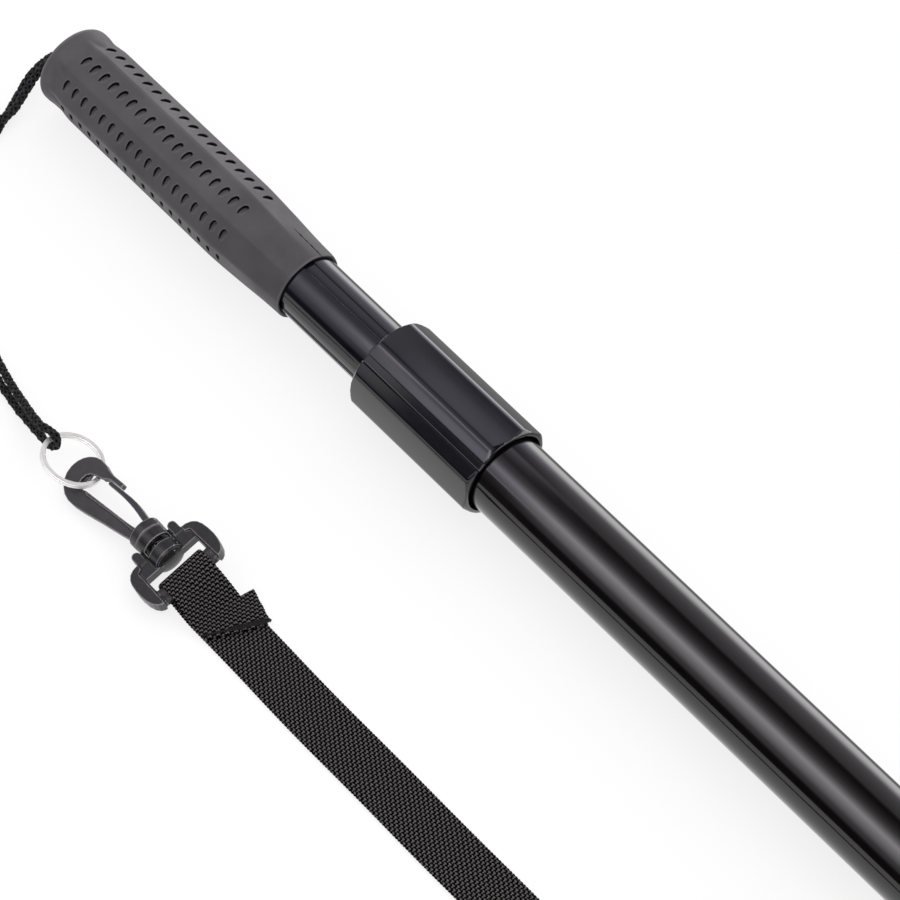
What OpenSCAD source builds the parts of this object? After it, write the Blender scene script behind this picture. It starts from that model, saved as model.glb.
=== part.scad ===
// Telescopic boat hook with a rubber grip, a twist-lock collar, a hook head
// and a carry strap on swivel snap hooks. Millimetres.
// The pole lies along +X from the butt of the grip to the hook, +Z is up.
// The strap lies beside the pole on the -Y side, on the floor.

/* [Grip] */
// Length of the rubber grip from butt to mouth
grip_len = 133.5; // [110:0.5:160]
// Radius of the grip body over its ridges
grip_r = 15.7; // [14.5:0.1:18]
// Radius of the grip at its mouth
grip_mouth_r = 14; // [13.4:0.1:15]
// Half width across the eight flats of the grip
grip_flat = 15.05; // [14:0.05:17]
// Dimples in each row
dimple_count = 18; // [6:1:24]
// Spacing of the dimples along the grip
dimple_pitch = 5.22; // [4:0.01:6]
// Depth of a dimple
dimple_deep = 0.9; // [0.4:0.1:1.2]

/* [Handle tube] */
// Outer radius of the handle tube
tube_r = 12.5; // [10:0.1:14]
// Wall of the handle tube
tube_wall = 1.2; // [0.8:0.1:2]
// Far end of the handle tube inside the main tube
tube_end = 545; // [400:1:800]
// Depth of the four guide grooves
groove_deep = 0.55; // [0.3:0.05:0.7]
// Width of the guide grooves
groove_w = 4.4; // [3:0.1:6]
// Turn of the guide grooves about the pole
groove_turn = 4; // [0:1:45]

/* [Main tube] */
// Outer radius of the main tube
main_r = 15; // [13:0.1:18]
// Wall of the main tube
main_wall = 1.2; // [0.8:0.1:2]
// Start of the main tube inside the collar
main_x0 = 212; // [200:1:220]
// Far end of the main tube
main_x1 = 632; // [500:1:900]

/* [Lock collar] */
// End of the collar nearest the grip
collar_x0 = 177; // [170:0.5:190]
// Length of the collar
collar_len = 60.6; // [45:0.1:80]
// Half width across the eight flats of the collar
collar_flat = 17.35; // [16.5:0.05:20]
// Radius over the crowned edges of the collar
collar_crown = 18.45; // [17:0.05:21]
// Turn of the collar flats about the pole
collar_turn = 7.7; // [0:0.1:45]
// Width of the grip groove along the collar
collar_groove_w = 3.8; // [2:0.1:6]

/* [Hook head] */
// Radius of the socket on the hook head
socket_r = 17.2; // [16:0.1:20]
// Thickness of the moulded hook
head_t = 15; // [10:0.5:20]
// Middle radius of the curved hook
hook_arc_r = 29; // [22:0.5:40]
// Radius of the line eye through the head
eye_r = 4; // [2.5:0.5:6]

/* [Lanyard] */
// Radius of the braided cord
cord_r = 1.6; // [1:0.1:2.5]
// Middle radius of the split ring
ring_r = 10.9; // [8:0.1:14]
// Half width of the split ring wire pair
ring_w = 0.95; // [0.8:0.05:1.5]
// Height of the floor the hook rests on
floor_z = -18.4; // [-22:0.1:-16]

/* [Snap hooks and strap] */
// Distance from the pole axis to the strap
strap_y = 102.8; // [60:0.1:140]
// Origin of the near snap hook, inside its flange
snap_x = 171.5; // [150:0.5:200]
// Roll of the snap hooks about their own axis
snap_roll = 20; // [0:1:30]
// Turn of the strap frames back on their swivels
frame_turn = 6; // [0:1:15]
// Rise of the snap hook axis
snap_pitch = 3; // [0:0.5:6]
// Origin of the far snap hook, inside its flange
far_x = 610; // [450:1:700]
// Width of the webbing
web_w = 20; // [15:0.5:25]
// Thickness of the webbing
web_t = 1.1; // [0.8:0.1:2]

/* [Hidden] */
black = [0.06, 0.06, 0.07];
ferrule_grey = [0.16, 0.16, 0.17];
moulded_black = [0.1, 0.1, 0.1];   // plug and snap hook parts
cloth_black = [0.05, 0.05, 0.05];  // cord, webbing and wiper
stitch_grey = [0.12, 0.12, 0.12];

tube_in = tube_r - tube_wall;
main_in = main_r - main_wall;
groove_bed = tube_r - groove_deep;
collar_x1 = collar_x0 + collar_len;
snap_z = floor_z + 6.6;

// ---- helpers -------------------------------------------------------------

// lay a shape drawn along +Z onto the X axis
module along_x(x0) { translate([x0, 0, 0]) rotate([0, 90, 0]) children(); }

module rod_x(x0, length, radius, facets) {
  along_x(x0) cylinder(h = length, r = radius, $fn = facets);
}

// rod along Y, centred on the origin
module rod_y(length, radius, facets) {
  rotate([90, 0, 0]) cylinder(h = length, r = radius, center = true, $fn = facets);
}

module ring_x(x0, x1, outer_r, inner_r) {
  difference() {
    rod_x(x0, x1 - x0, outer_r, 96);
    rod_x(x0 - 1, x1 - x0 + 2, inner_r, 96);
  }
}

// eight-sided bar along X, given its half width across flats
module octagon_x(x0, length, flat, turn) {
  along_x(x0) rotate([0, 0, 22.5 + turn])
    cylinder(h = length, r = flat / cos(22.5), $fn = 8);
}

// turned part about X: points are [x, radius]
module turned(profile, facets = 96) {
  rotate([0, 90, 0]) rotate_extrude($fn = facets)
    polygon([for (p = profile) [p[1], p[0]]]);
}

// copies about the X axis, the first turned from +Z towards -Y
module around_x(count, turn = 0) {
  for (i = [0 : count - 1]) rotate([turn + i * 360 / count, 0, 0]) children();
}

function unit(v) = v / norm(v);
function reversed(list) = [for (i = [len(list) - 1 : -1 : 0]) list[i]];
function tangent(path, i) =
  unit(path[min(i + 1, len(path) - 1)] - path[max(i - 1, 0)]);

// closed solid over successive sections of the same number of corners
module sweep(points, corners) {
  stations = len(points) / corners;
  sides = [for (i = [0 : stations - 2]) for (j = [0 : corners - 1])
            let (a = i * corners + j, b = i * corners + (j + 1) % corners) each
            [[a, b + corners, b], [a, a + corners, b + corners]]];
  start_cap = [for (j = [0 : corners - 1]) j];
  end_cap = [for (j = [corners - 1 : -1 : 0]) (stations - 1) * corners + j];
  polyhedron(points = points, faces = concat(sides, [start_cap, end_cap]), convexity = 10);
}

// flat band along centres, with half width and half thickness vectors at each
module ribbon(centres, half_w, half_t) {
  sweep([for (i = [0 : len(centres) - 1])
          let (c = centres[i], w = half_w[i], t = half_t[i]) each
          [c - w - t, c + w - t, c + w + t, c - w + t]], 4);
}

// cord of eight sides along a path
module cord(path, radius) {
  corners = 8;
  sweep([for (i = [0 : len(path) - 1])
          let (along = tangent(path, i),
               side = unit(cross(along, abs(along[2]) < 0.8 ? [0, 0, 1] : [0, 1, 0])),
               up = cross(along, side)) each
          [for (j = [0 : corners - 1]) let (angle = j * 360 / corners)
            path[i] + radius * (cos(angle) * side + sin(angle) * up)]], corners);
}

// Catmull-Rom point on segment i at fraction u
function spline_point(knots, i, u) =
  let (a = knots[max(i - 1, 0)], b = knots[i],
       c = knots[i + 1], d = knots[min(i + 2, len(knots) - 1)])
  0.5 * ((2 * b) + (c - a) * u + (2 * a - 5 * b + 4 * c - d) * u * u
         + (3 * b - a - 3 * c + d) * u * u * u);
function spline(knots, steps) =
  [for (i = [0 : len(knots) - 2]) for (k = [0 : steps - 1]) spline_point(knots, i, k / steps),
   knots[len(knots) - 1]];

// ---- grip and handle tube ------------------------------------------------

grip_turn = 10;      // turn of the grip flats about the pole
dimple_x0 = 13;      // first dimple in a row
dimple_lift = 0.35;  // height of the dimple axis above the flat
bush_len = 20;

// round butt bead of the grip, [x, radius]
butt_profile = [[0, 0], [0, 14.6], [0.6, 15.4], [1.6, 15.7], [4.6, 15.7], [6.8, 15.15],
                [8.8, 14.9]];
// rest of the grip up to the mouth, [x, radius]
grip_profile = [[10.6, 15.1], [14, grip_r], [96, grip_r], [107, 15.05], [114, 14.8],
                [123, 14.3], [grip_len - 2.5, grip_mouth_r + 0.05],
                [grip_len - 0.7, grip_mouth_r], [grip_len, grip_mouth_r - 0.5],
                [grip_len, 0]];

module rubber_grip() {
  color([0.2, 0.19, 0.2]) difference() {
    union() {
      intersection() {
        turned(concat(butt_profile, grip_profile));
        octagon_x(-1, grip_len + 2, grip_flat, grip_turn);
      }
      // the butt bead stays round
      turned(concat(butt_profile, [[8.8, 0]]));
    }
    // bore for the handle tube
    turned([[3, 0], [3, tube_r + 0.01], [grip_len + 1, tube_r + 0.01], [grip_len + 1, 0]]);
    // cord hole through the butt
    rod_x(-1, 6, 4.2, 48);
    // a row of dimples along each flat
    around_x(8, grip_turn)
      for (i = [0 : dimple_count - 1])
        translate([dimple_x0 + i * dimple_pitch, 0, grip_flat + dimple_lift])
          rod_y(4.2, dimple_deep + dimple_lift, 20);
  }
}

module handle_tube() {
  color(black) difference() {
    ring_x(3.2, tube_end, tube_r, tube_in);
    around_x(4, -groove_turn)
      translate([3, -groove_w / 2, groove_bed]) cube([tube_end, groove_w, 3]);
  }
}

// cup in the butt of the handle tube, with a hole for the cord
module butt_plug() {
  hole_r = 3.8;
  color(moulded_black)
    turned([[3.4, hole_r], [3.4, tube_in - 0.05], [16, tube_in - 0.05], [17, tube_in - 0.8],
            [17, tube_in - 2.2], [6.4, tube_in - 2.2], [6.4, hole_r]]);
}

module inner_end_plug() {
  x0 = tube_end - 45;
  color([0.85, 0.85, 0.82])
    turned([[x0, 0], [x0, tube_in - 0.5], [x0 + 2, tube_in - 0.05],
            [tube_end - 2, tube_in - 0.05], [tube_end, tube_in - 1], [tube_end, 0]]);
}

// sleeve between the handle tube and the main tube
module guide_bush() {
  x1 = tube_end - 1;
  color([0.92, 0.92, 0.9]) ring_x(x1 - bush_len, x1, main_in - 0.06, tube_r + 0.01);
}

// ---- twist lock ----------------------------------------------------------

ferrule_x0 = main_x0 - 21;
ferrule_x1 = main_x0 + 28;
ferrule_bore = tube_r + 0.12;
ridge_root = 14.7;
ridge_crest = 15.3;
ridge_pitch = 3.6;
slide_bore = tube_r + 0.06;  // bore of the collet and the wiper
collet_x1 = ferrule_x0 - 0.2;
collet_x0 = collet_x1 - 8.5;
collet_r = 15.15;
wiper_x0 = collar_x0 + 1.7;
wiper_x1 = wiper_x0 + 1.6;
wiper_r = 14.2;
screw_inset = 20;            // head screws, back from the end of the main tube

module main_tube() {
  color(black) difference() {
    ring_x(main_x0, main_x1, main_r, main_in);
    around_x(2)
      translate([main_x1 - screw_inset, 0, 10]) cylinder(h = 10, r = 1.75, $fn = 32);
  }
}

// ferrule pressed into the mouth of the main tube: ridged head and keyed bore
module threaded_ferrule() {
  shoulder_r = 15.35;
  shoulder_x0 = main_x0 - 8;
  shoulder_x1 = main_x0 - 0.1;
  color(ferrule_grey) difference() {
    turned(concat(
      [[ferrule_x0, ferrule_bore], [ferrule_x0, ridge_root]],
      [for (i = [0 : 2]) let (x = ferrule_x0 + 2 + i * ridge_pitch) each
        [[x, ridge_root], [x + 0.6, ridge_crest], [x + 1.6, ridge_crest], [x + 2.2, ridge_root]]],
      [[shoulder_x0, ridge_root], [shoulder_x0, shoulder_r], [shoulder_x1, shoulder_r],
       [shoulder_x1, main_in - 0.03], [ferrule_x1 - 2, main_in - 0.03],
       [ferrule_x1, main_in - 0.5], [ferrule_x1, ferrule_bore]]));
    // bore clearance at the lead-in
    along_x(ferrule_x0 - 0.1) cylinder(h = 1, r1 = 13.2, r2 = ferrule_bore, $fn = 96);
  }
  // keys that run in the guide grooves
  color(ferrule_grey)
    around_x(4, -groove_turn)
      translate([ferrule_x0 + 1, -1.8, groove_bed + 0.1])
        cube([ferrule_x1 - ferrule_x0 - 2, 3.6, 0.95]);
}

// cone round the handle tube, slit between the guide grooves
module collet() {
  slit_w = 1.4;
  color([0.9, 0.9, 0.88]) difference() {
    turned([[collet_x0, slide_bore], [collet_x0, 13.0], [collet_x1 - 0.8, collet_r],
            [collet_x1, collet_r], [collet_x1, slide_bore]]);
    around_x(4, 45 - groove_turn)
      translate([collet_x0 - 1.3, -slit_w / 2, 11]) cube([7.5, slit_w, 8]);
  }
}

module wiper_ring() {
  color(cloth_black)
    turned([[wiper_x0, slide_bore], [wiper_x0, wiper_r], [wiper_x1, wiper_r],
            [wiper_x1, slide_bore]]);
}

module lock_collar() {
  lip_r = 12.8;
  seat_r = wiper_r + 0.05;
  groove_cut = 0.85;
  color(black) difference() {
    intersection() {
      octagon_x(collar_x0, collar_len, collar_flat, -collar_turn);
      turned([[collar_x0, 0], [collar_x0, collar_crown - 1],
              [collar_x0 + 1, collar_crown - 0.1], [collar_x0 + 2, collar_crown],
              [collar_x1 - 2, collar_crown], [collar_x1 - 1, collar_crown - 0.1],
              [collar_x1, collar_crown - 1], [collar_x1, 0]]);
    }
    // bore: lip, wiper groove, cone over the collet, ridged zone, tube clearance
    turned([[collar_x0 - 1, 0], [collar_x0 - 1, lip_r], [wiper_x0 - 0.1, lip_r],
            [wiper_x0 - 0.1, seat_r], [wiper_x1 + 0.1, seat_r], [wiper_x1 + 0.1, lip_r],
            [collar_x0 + 4.6, lip_r], [collar_x0 + 13.3, 15.3], [collar_x0 + 15.2, 15.45],
            [collar_x1 - 1.4, 15.45], [collar_x1 + 1, 16.4], [collar_x1 + 1, 0]]);
    // grip groove along one face
    rotate([45 - collar_turn, 0, 0])
      translate([collar_x0 - 1, -collar_groove_w / 2, collar_flat - groove_cut])
        cube([collar_len + 2, collar_groove_w, 4]);
  }
}

// ---- hook head -----------------------------------------------------------
// drawn with x = 0 at the end of the main tube

hook_half = 6.5;             // half width of the curved hook
hook_x = 40;                 // centre of the curve
hook_y = hook_arc_r + 3;
hook_tip_x = hook_x - 6;
hook_tip_y = hook_y + hook_arc_r;
prong_x = 95;                // centre of the prong nose
prong_outline = [[18, -12], [18, 12], [58, 9], [prong_x, 7.4], [prong_x, -7.4], [58, -9]];
pocket_outline = [[52, -5.6], [52, 5.6], [92, 4.2], [92, -4.2]];

// straight prong with a round nose
module prong_shape() {
  polygon(prong_outline);
  translate([prong_x, 0]) circle(r = 8.2, $fn = 64);
}

// back-curved hook: half a ring with a rounded tip
module hook_shape() {
  difference() {
    translate([hook_x, hook_y]) circle(r = hook_arc_r + hook_half, $fn = 96);
    translate([hook_x, hook_y]) circle(r = hook_arc_r - hook_half, $fn = 96);
    translate([hook_x - 92, -60]) square([92, 200]);
  }
  translate([hook_tip_x, hook_tip_y - hook_half]) square([6.2, 2 * hook_half]);
  translate([hook_tip_x, hook_tip_y]) circle(r = hook_half, $fn = 48);
}

module hook_head() {
  color([0.09, 0.09, 0.1]) translate([main_x1, 0, 0]) difference() {
    union() {
      // plug inside the main tube and socket against its end
      turned([[-38, 0], [-38, 12.6], [-36, main_in - 0.1], [0.2, main_in - 0.1],
              [0.2, 16.4], [1.4, socket_r], [8, socket_r], [18, 15.2], [26, 12.2], [26, 0]]);
      translate([0, 0, -head_t / 2]) linear_extrude(head_t) prong_shape();
      translate([0, 0, -head_t / 2]) linear_extrude(head_t) hook_shape();
    }
    // lightening pockets on both sides leave a rim and a middle web
    around_x(2) translate([0, 0, 3]) linear_extrude(10) polygon(pocket_outline);
    // line eye
    translate([36, 0, -20]) cylinder(h = 40, r = eye_r, $fn = 48);
    // hollow plug and screw holes
    turned([[-42, 0], [-42, 9.5], [-4, 9.5], [-4, 0]]);
    around_x(2) translate([-screw_inset, 0, 5]) cylinder(h = 12, r = 1.7, $fn = 32);
  }
}

// two screws with cross slots, above and below the pole
module head_screws() {
  slot_z = main_r + 0.9;
  slot_len = 4;
  slot_w = 0.7;
  color([0.6, 0.6, 0.62])
    around_x(2) translate([main_x1 - screw_inset, 0, 0]) difference() {
      union() {
        translate([0, 0, 8.2]) cylinder(h = 8, r = 1.62, $fn = 32);
        translate([0, 0, main_r + 0.03]) cylinder(h = 1.3, r = 3.1, $fn = 48);
      }
      translate([-slot_len / 2, -slot_w / 2, slot_z]) cube([slot_len, slot_w, 2]);
      translate([-slot_w / 2, -slot_len / 2, slot_z]) cube([slot_w, slot_len, 2]);
    }
}

// ---- lanyard -------------------------------------------------------------

// doubled cord, [x, y, z]: out through the butt, across the floor, round the
// ring and back
cord_knots = [
  [13, 1.8, 0.2], [6, 1.75, 0.1], [0, 1.7, 0], [-7, 1.2, -1.6], [-13, -2.5, -8],
  [-15.4, -9, -14.2], [-13.2, -16, -16.7], [-9.8, -22.5, -16.7], [-4.7, -32.5, -16.7],
  [3, -47, -16.7], [17, -65, -16.7], [38, -80.5, -16.7], [58, -89, -16.7],
  [75, -94.6, -16.4], [89.57, -98.73, -14.1], [99.44, -100.99, -11.9],
  [108.62, -103.07, -9.2], [114.86, -104, -7.4], [118.1, -103.4, -6.6],
  [120.26, -103.2, -6.54], [121.75, -103.12, -7.07], [122.76, -103.37, -8.25],
  [122.99, -103.85, -9.73], [122.37, -104.43, -11.06], [121.09, -104.93, -11.83],
  [118.3, -105.1, -12.3], [114.54, -104.59, -13.3], [109.79, -103.88, -14.9],
  [104.06, -103.08, -16.1], [96.07, -102.25, -16.65], [74, -98.3, -16.7],
  [55, -92.9, -16.7], [35, -84.8, -16.7], [13.5, -68.6, -16.7], [-1.4, -49.4, -16.65],
  [-6.6, -41, -13.6], [-5.5, -32, -13.1], [-5.8, -24.5, -13.4], [-9.2, -15.5, -12],
  [-10.4, -7.5, -7.6], [-7, -2.2, -2.2], [0, -1.7, 0], [6, -1.75, 0.1], [13, -1.8, 0.2]];
ring_centre = [130.8, -103.1, -11.5];
ring_tilt = [-20.8, 9.95, 0];

module lanyard_cord() {
  color(cloth_black) {
    cord(spline(cord_knots, 4), cord_r);
    // stopper knot at the butt plug
    translate([12, 0, 0]) sphere(r = 5.4, $fn = 40);
  }
}

// two turns of wire drawn as one ring with a notch between them
module split_ring() {
  w = ring_w;
  half_h = ring_w + 0.05;
  color([0.75, 0.75, 0.76]) translate(ring_centre) rotate(ring_tilt) difference() {
    rotate_extrude($fn = 96) translate([ring_r, 0])
      polygon([[-w, -0.55], [-0.5, -half_h], [0.5, -half_h], [w, -0.55],
               [w, -0.12], [w - 0.3, 0], [w, 0.12],
               [w, 0.55], [0.5, half_h], [-0.5, half_h], [-w, 0.55],
               [-w, 0.12], [-w + 0.3, 0], [-w, -0.12]]);
    // the free end of the upper turn
    rotate([0, 0, 60]) translate([ring_r - 3, 0, 0]) cube([6, 0.8, 4]);
  }
}

// ---- swivel snap hook ----------------------------------------------------
// own frame: +x from the hook nose towards the strap, origin inside the flange,
// hook plate in the xy plane

stem_r = 2.4;
end_bar_x = 21;     // end bar that carries the strap
end_bar_len = 23;
ear_y = 8.1;
ear_r = 1.7;

module near_place(turn = 0) {
  translate([snap_x, -strap_y, snap_z]) rotate([snap_roll, 0, 0]) rotate([0, -snap_pitch, 0])
    rotate([turn, 0, 0]) children();
}
module far_place(turn = 0) {
  translate([far_x, -strap_y, snap_z]) rotate([-snap_roll, 0, 0])
    rotate([0, -snap_pitch, 180]) rotate([turn, 0, 0]) children();
}

// outlines of the hook plate, [x, y]
// outside, from the flange round to the inside of the nose
hook_rim = [
  [-2, -5.05], [-8.2, -6.5], [-16.1, -8.2], [-24, -10.1], [-28.2, -10.9], [-31.4, -11],
  [-34, -10.4], [-36.4, -9], [-38.4, -7], [-39.7, -4.6], [-40.2, -2], [-40, 0.7],
  [-39.1, 3], [-37.6, 4.9], [-35.6, 6.3], [-33.3, 6.9], [-30.6, 6.9], [-28, 6.3],
  [-25.6, 6.1], [-20.1, 6.6], [-19.8, 4.88], [-24.7, 4.4], [-25.9, 3.9]];
// inside of the bend, lower half of the plate
lower_seat = [
  [-27.6, 2.5], [-28.4, 2.9], [-29.2, 3.9], [-30.4, 4.7], [-32, 4.9], [-33, 4.4],
  [-33.1, 3.1], [-32.6, 1.4], [-32.2, 0], [-32, -1.6], [-32, -4.6]];
// inside of the bend, upper half of the plate
upper_seat = [
  [-28.1, 2.35], [-30.6, 1.7], [-32.3, 0.9], [-33.4, -0.6], [-33.5, -2.6], [-32.8, -4.6]];
// inner edge of the spine, back to the flange
spine_edge = [[-31, -5.1], [-28.8, -4.3], [-8.4, -1.9], [-2, -0.8]];
spine_rib = [[-2, -2.3], [-13, -3.3], [-27, -5.3], [-28.6, -4.9], [-27.4, -4.14],
             [-8.4, -1.9], [-2, -0.8]];

module snap_hook_body() {
  difference() {
    union() {
      translate([0, 0, -1.5]) linear_extrude(1.5)
        polygon(concat(hook_rim, lower_seat, spine_edge));
      // the upper face runs on over the seat of the ring
      translate([0, 0, -0.12]) linear_extrude(1.62)
        polygon(concat(hook_rim, upper_seat, spine_edge));
      translate([0, 0, -2.1]) linear_extrude(4.2) polygon(spine_rib);
      // flange and stem
      rod_x(-2.2, 3.6, 6.2, 64);
      rod_x(1.2, 7, stem_r, 48);
      // barb that snaps behind the end wall of the barrel
      turned([[5.9, 0], [5.9, 3.2], [7, 3.2], [9.2, 2.1], [9.2, 0]], 64);
    }
    // the stem is split so that it can be pressed home
    translate([2.4, -0.4, -6]) cube([8, 0.8, 12]);
  }
}

// point at fraction u along an edge of the gate that starts at height y0
gate_root_x = -2.6;
function gate_edge(y0, run, rise, bow, u) =
  [gate_root_x - run * u, y0 + rise * u + bow * sin(180 * u)];

// springy tongue that closes the mouth of the hook
module snap_gate_body() {
  inner_y = 1.8;
  outer_y = 4.1;
  translate([0, 0, -1.45]) linear_extrude(2.9)
    polygon(concat(
      [[gate_root_x, outer_y], [gate_root_x, inner_y]],
      [for (i = [1 : 8]) gate_edge(inner_y, 22, 0.85, 0.95, i / 8)],
      [[-25.1, 3.5], [-24.5, 4.2], [-19.4, 4.7]],
      [for (i = [2 : 7]) gate_edge(outer_y, 18.4, 0.2, 1.05, 1 - i / 8)]));
}

// side arm of the strap frame on +y, rounded at both outer corners, [x, y]
arm_outline = [
  [7.3, 9.8], [7.6, 12], [8.4, 13.8], [9.8, 15.1], [11.8, 15.9], [14.6, 16.3],
  [17.6, 16.4], [20.4, 16.1], [22.7, 15.4], [24.3, 14.3], [25.1, 13], [25.2, 12],
  [10.2, 11.6], [9.4, 9.8]];

module strap_frame_body() {
  difference() {
    union() {
      // barrel round the stem with a closed, domed end
      rod_x(1.5, 11.2, 6.1, 64);
      turned([[12.4, 0], [12.4, 5.7], [13.1, 5.7], [13.6, 4.6], [14, 3], [14.2, 1.5],
              [14.25, 0]], 64);
      // cross member
      translate([7.6, -11.3, -1.9]) cube([6.2, 22.6, 3.8]);
      for (side = [-1, 1]) {
        translate([0, 0, -2.5]) linear_extrude(5)
          polygon([for (p = arm_outline) [p[0], side * p[1]]]);
        // ledge along the inside of the arm
        translate([8.2, side * 11.65 - 0.55, -1.7]) cube([16.6, 1.1, 3.4]);
        // ear with a round end, joined to the barrel
        translate([4.4, side * ear_y - ear_r, -2.1]) cube([4, 2 * ear_r, 4.2]);
        translate([4.4, side * ear_y, -2.1]) cylinder(h = 4.2, r = ear_r, $fn = 32);
        translate([4.4, side * 6.2 - 0.8, -1.6]) cube([4, 1.6, 3.2]);
      }
      // end bar, drawn out to a rounded outer edge
      translate([end_bar_x, 0, 0]) rod_y(end_bar_len, 2.0, 40);
      translate([end_bar_x, -end_bar_len / 2, -1.5]) cube([3.1, end_bar_len, 3]);
      translate([end_bar_x + 3.1, 0, 0]) rod_y(end_bar_len, 1.5, 32);
    }
    // bore for the stem, chamber for the barb and the two windows
    rod_x(0.5, 6, stem_r + 0.05, 48);
    rod_x(5.8, 3.9, 4.9, 64);
    around_x(2) translate([5.9, -5.1, 2.2]) cube([2.5, 10.2, 6]);
  }
}

module snap_hook() { color(moulded_black) near_place() snap_hook_body(); }
module snap_gate() { color(moulded_black) near_place() snap_gate_body(); }
module strap_frame() { color(moulded_black) near_place(-frame_turn) strap_frame_body(); }
module far_snap_hook() { color(moulded_black) far_place() snap_hook_body(); }
module far_snap_gate() { color(moulded_black) far_place() snap_gate_body(); }
module far_strap_frame() { color(moulded_black) far_place(-frame_turn) strap_frame_body(); }

// ---- strap ---------------------------------------------------------------

web_z = floor_z + web_t / 2 + 0.15;       // strap lying on the floor
sewn_z = web_z + web_t + 0.25;            // its end lying on top of it
frame_roll = snap_roll - frame_turn;
bar_x = snap_x + end_bar_x * cos(snap_pitch);
far_bar_x = far_x - end_bar_x * cos(snap_pitch);
bar_z = snap_z + end_bar_x * sin(snap_pitch)
        * (cos(snap_roll) + sin(snap_roll) * tan(frame_roll));
fold_r = 2.9;                             // middle radius of the fold round a bar
tail = 26.3;                              // length of the sewn end beyond a bar
skew = 4.7;                               // the sewn end is cut on the skew
pinch = 0.9;                              // loss of half width at a bar
stitch_pitch = 2.5;

function ease(u) = let (v = min(max(u, 0), 1)) v * v * (3 - 2 * v);

// height of the upper and of the lower layer at a distance from the bar
function upper(d) = bar_z + fold_r + (sewn_z - bar_z - fold_r) * ease((d - 4) / 14);
function lower(d) = bar_z - fold_r + (web_z - bar_z + fold_r) * ease((d - 2) / 14);
// stations as distances from the bar
upper_stations = [tail, 23, 19.5, 16.5, 14, 11.5, 9, 6.5, 4];
lower_stations = [4, 6, 8, 10, 12, 14, 16, 18];
floor_inset = 18;                         // the last lower station

function fold(x, start) =
  [for (i = [0 : 8]) let (a = start + 180 * i / 8)
    [x + fold_r * cos(a), bar_z + fold_r * sin(a)]];

// strap path, [x, z]: sewn end, round the near bar, along the floor, round the
// far bar, sewn end
web_path = concat(
  [for (d = upper_stations) [bar_x + d, upper(d)]],
  fold(bar_x, 80),
  [for (d = lower_stations) [bar_x + d, lower(d)]],
  [for (i = [1 : 11])
    [bar_x + floor_inset + (far_bar_x - bar_x - 2 * floor_inset) * i / 12, web_z]],
  [for (d = reversed(lower_stations)) [far_bar_x - d, lower(d)]],
  fold(far_bar_x, -80),
  [for (d = reversed(upper_stations)) [far_bar_x - d, upper(d)]]);

// corner of the near sewn end that stands out beside the strap, [x, y]
loose_corner = [[208.6, -92.9], [209.2, -87.4], [221.6, -91.2], [222.6, -93.4],
                [219, -95], [214.5, -93.6]];

// roll of the strap: it follows the tilted frames and lies flat between them
function web_roll(x) =
  frame_roll * (1 - ease((x - bar_x - 3) / 13)) - frame_roll * ease((x - far_bar_x + 16) / 13);
// the strap is pulled narrower, on one side, where it folds round a bar
function web_pinch(x) =
  pinch * (1 - ease((x - bar_x - 5) / 11) + ease((x - far_bar_x + 16) / 11));
// skew of the cut at each end of a path of so many stations
function end_skew(i, count) =
  skew * (i == 0 || i == count - 1 ? 1 : i == 1 || i == count - 2 ? 0.5 : 0);

module strap_webbing() {
  count = len(web_path);
  centres = [for (p = web_path) let (roll = web_roll(p[0]), shift = web_pinch(p[0]))
              [p[0], -strap_y - shift * cos(roll), p[1] - shift * sin(roll)]];
  half_w = [for (p = web_path) let (roll = web_roll(p[0]))
             (web_w / 2 - web_pinch(p[0])) * [0, cos(roll), sin(roll)]];
  half_t = [for (i = [0 : count - 1])
             web_t / 2 * unit(cross(tangent(centres, i), half_w[i]))];
  skewed_w = [for (i = [0 : count - 1]) half_w[i] + [end_skew(i, count), 0, 0]];
  color(cloth_black) {
    ribbon(centres, skewed_w, half_t);
    translate([0, 0, sewn_z - web_t / 2 + 0.02]) linear_extrude(web_t - 0.04)
      polygon(loose_corner);
  }
}

// two rows of lock stitches along the skewed cut at end_x; side is the
// direction from the bar to the cut
module stitches(end_x, side) {
  for (row = [0, 1]) for (i = [-3 : 3])
    translate([end_x - side * (1.7 + 1.8 * row) + skew * i * stitch_pitch / (web_w / 2),
               -strap_y + i * stitch_pitch, sewn_z + web_t / 2 + 0.34])
      rod_y(1.7, 0.3, 16);
}

module strap_stitching() { color(stitch_grey) stitches(bar_x + tail, 1); }
module far_strap_stitching() { color(stitch_grey) stitches(far_bar_x - tail, -1); }

rubber_grip();
handle_tube();
butt_plug();
lanyard_cord();
guide_bush();
inner_end_plug();
main_tube();
threaded_ferrule();
collet();
wiper_ring();
lock_collar();
hook_head();
head_screws();
split_ring();
snap_hook();
snap_gate();
strap_frame();
strap_webbing();
strap_stitching();
far_strap_frame();
far_snap_hook();
far_snap_gate();
far_strap_stitching();
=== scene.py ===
# A telescopic pole with a rubber grip, a twist collar and a hook head. It lies along X with its
# butt at X = 0. A braided cord runs from the butt to a split ring on the -Y side, where a
# webbing strap with a snap hook at each end lies beside the pole.
# Lengths are in millimetres unless a comment says otherwise, and MM turns them into metres.
# Angles about the pole are measured from +Z towards +Y.

import math
import random

import bmesh
import bpy
import numpy as np
from mathutils import Matrix, Vector


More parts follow.
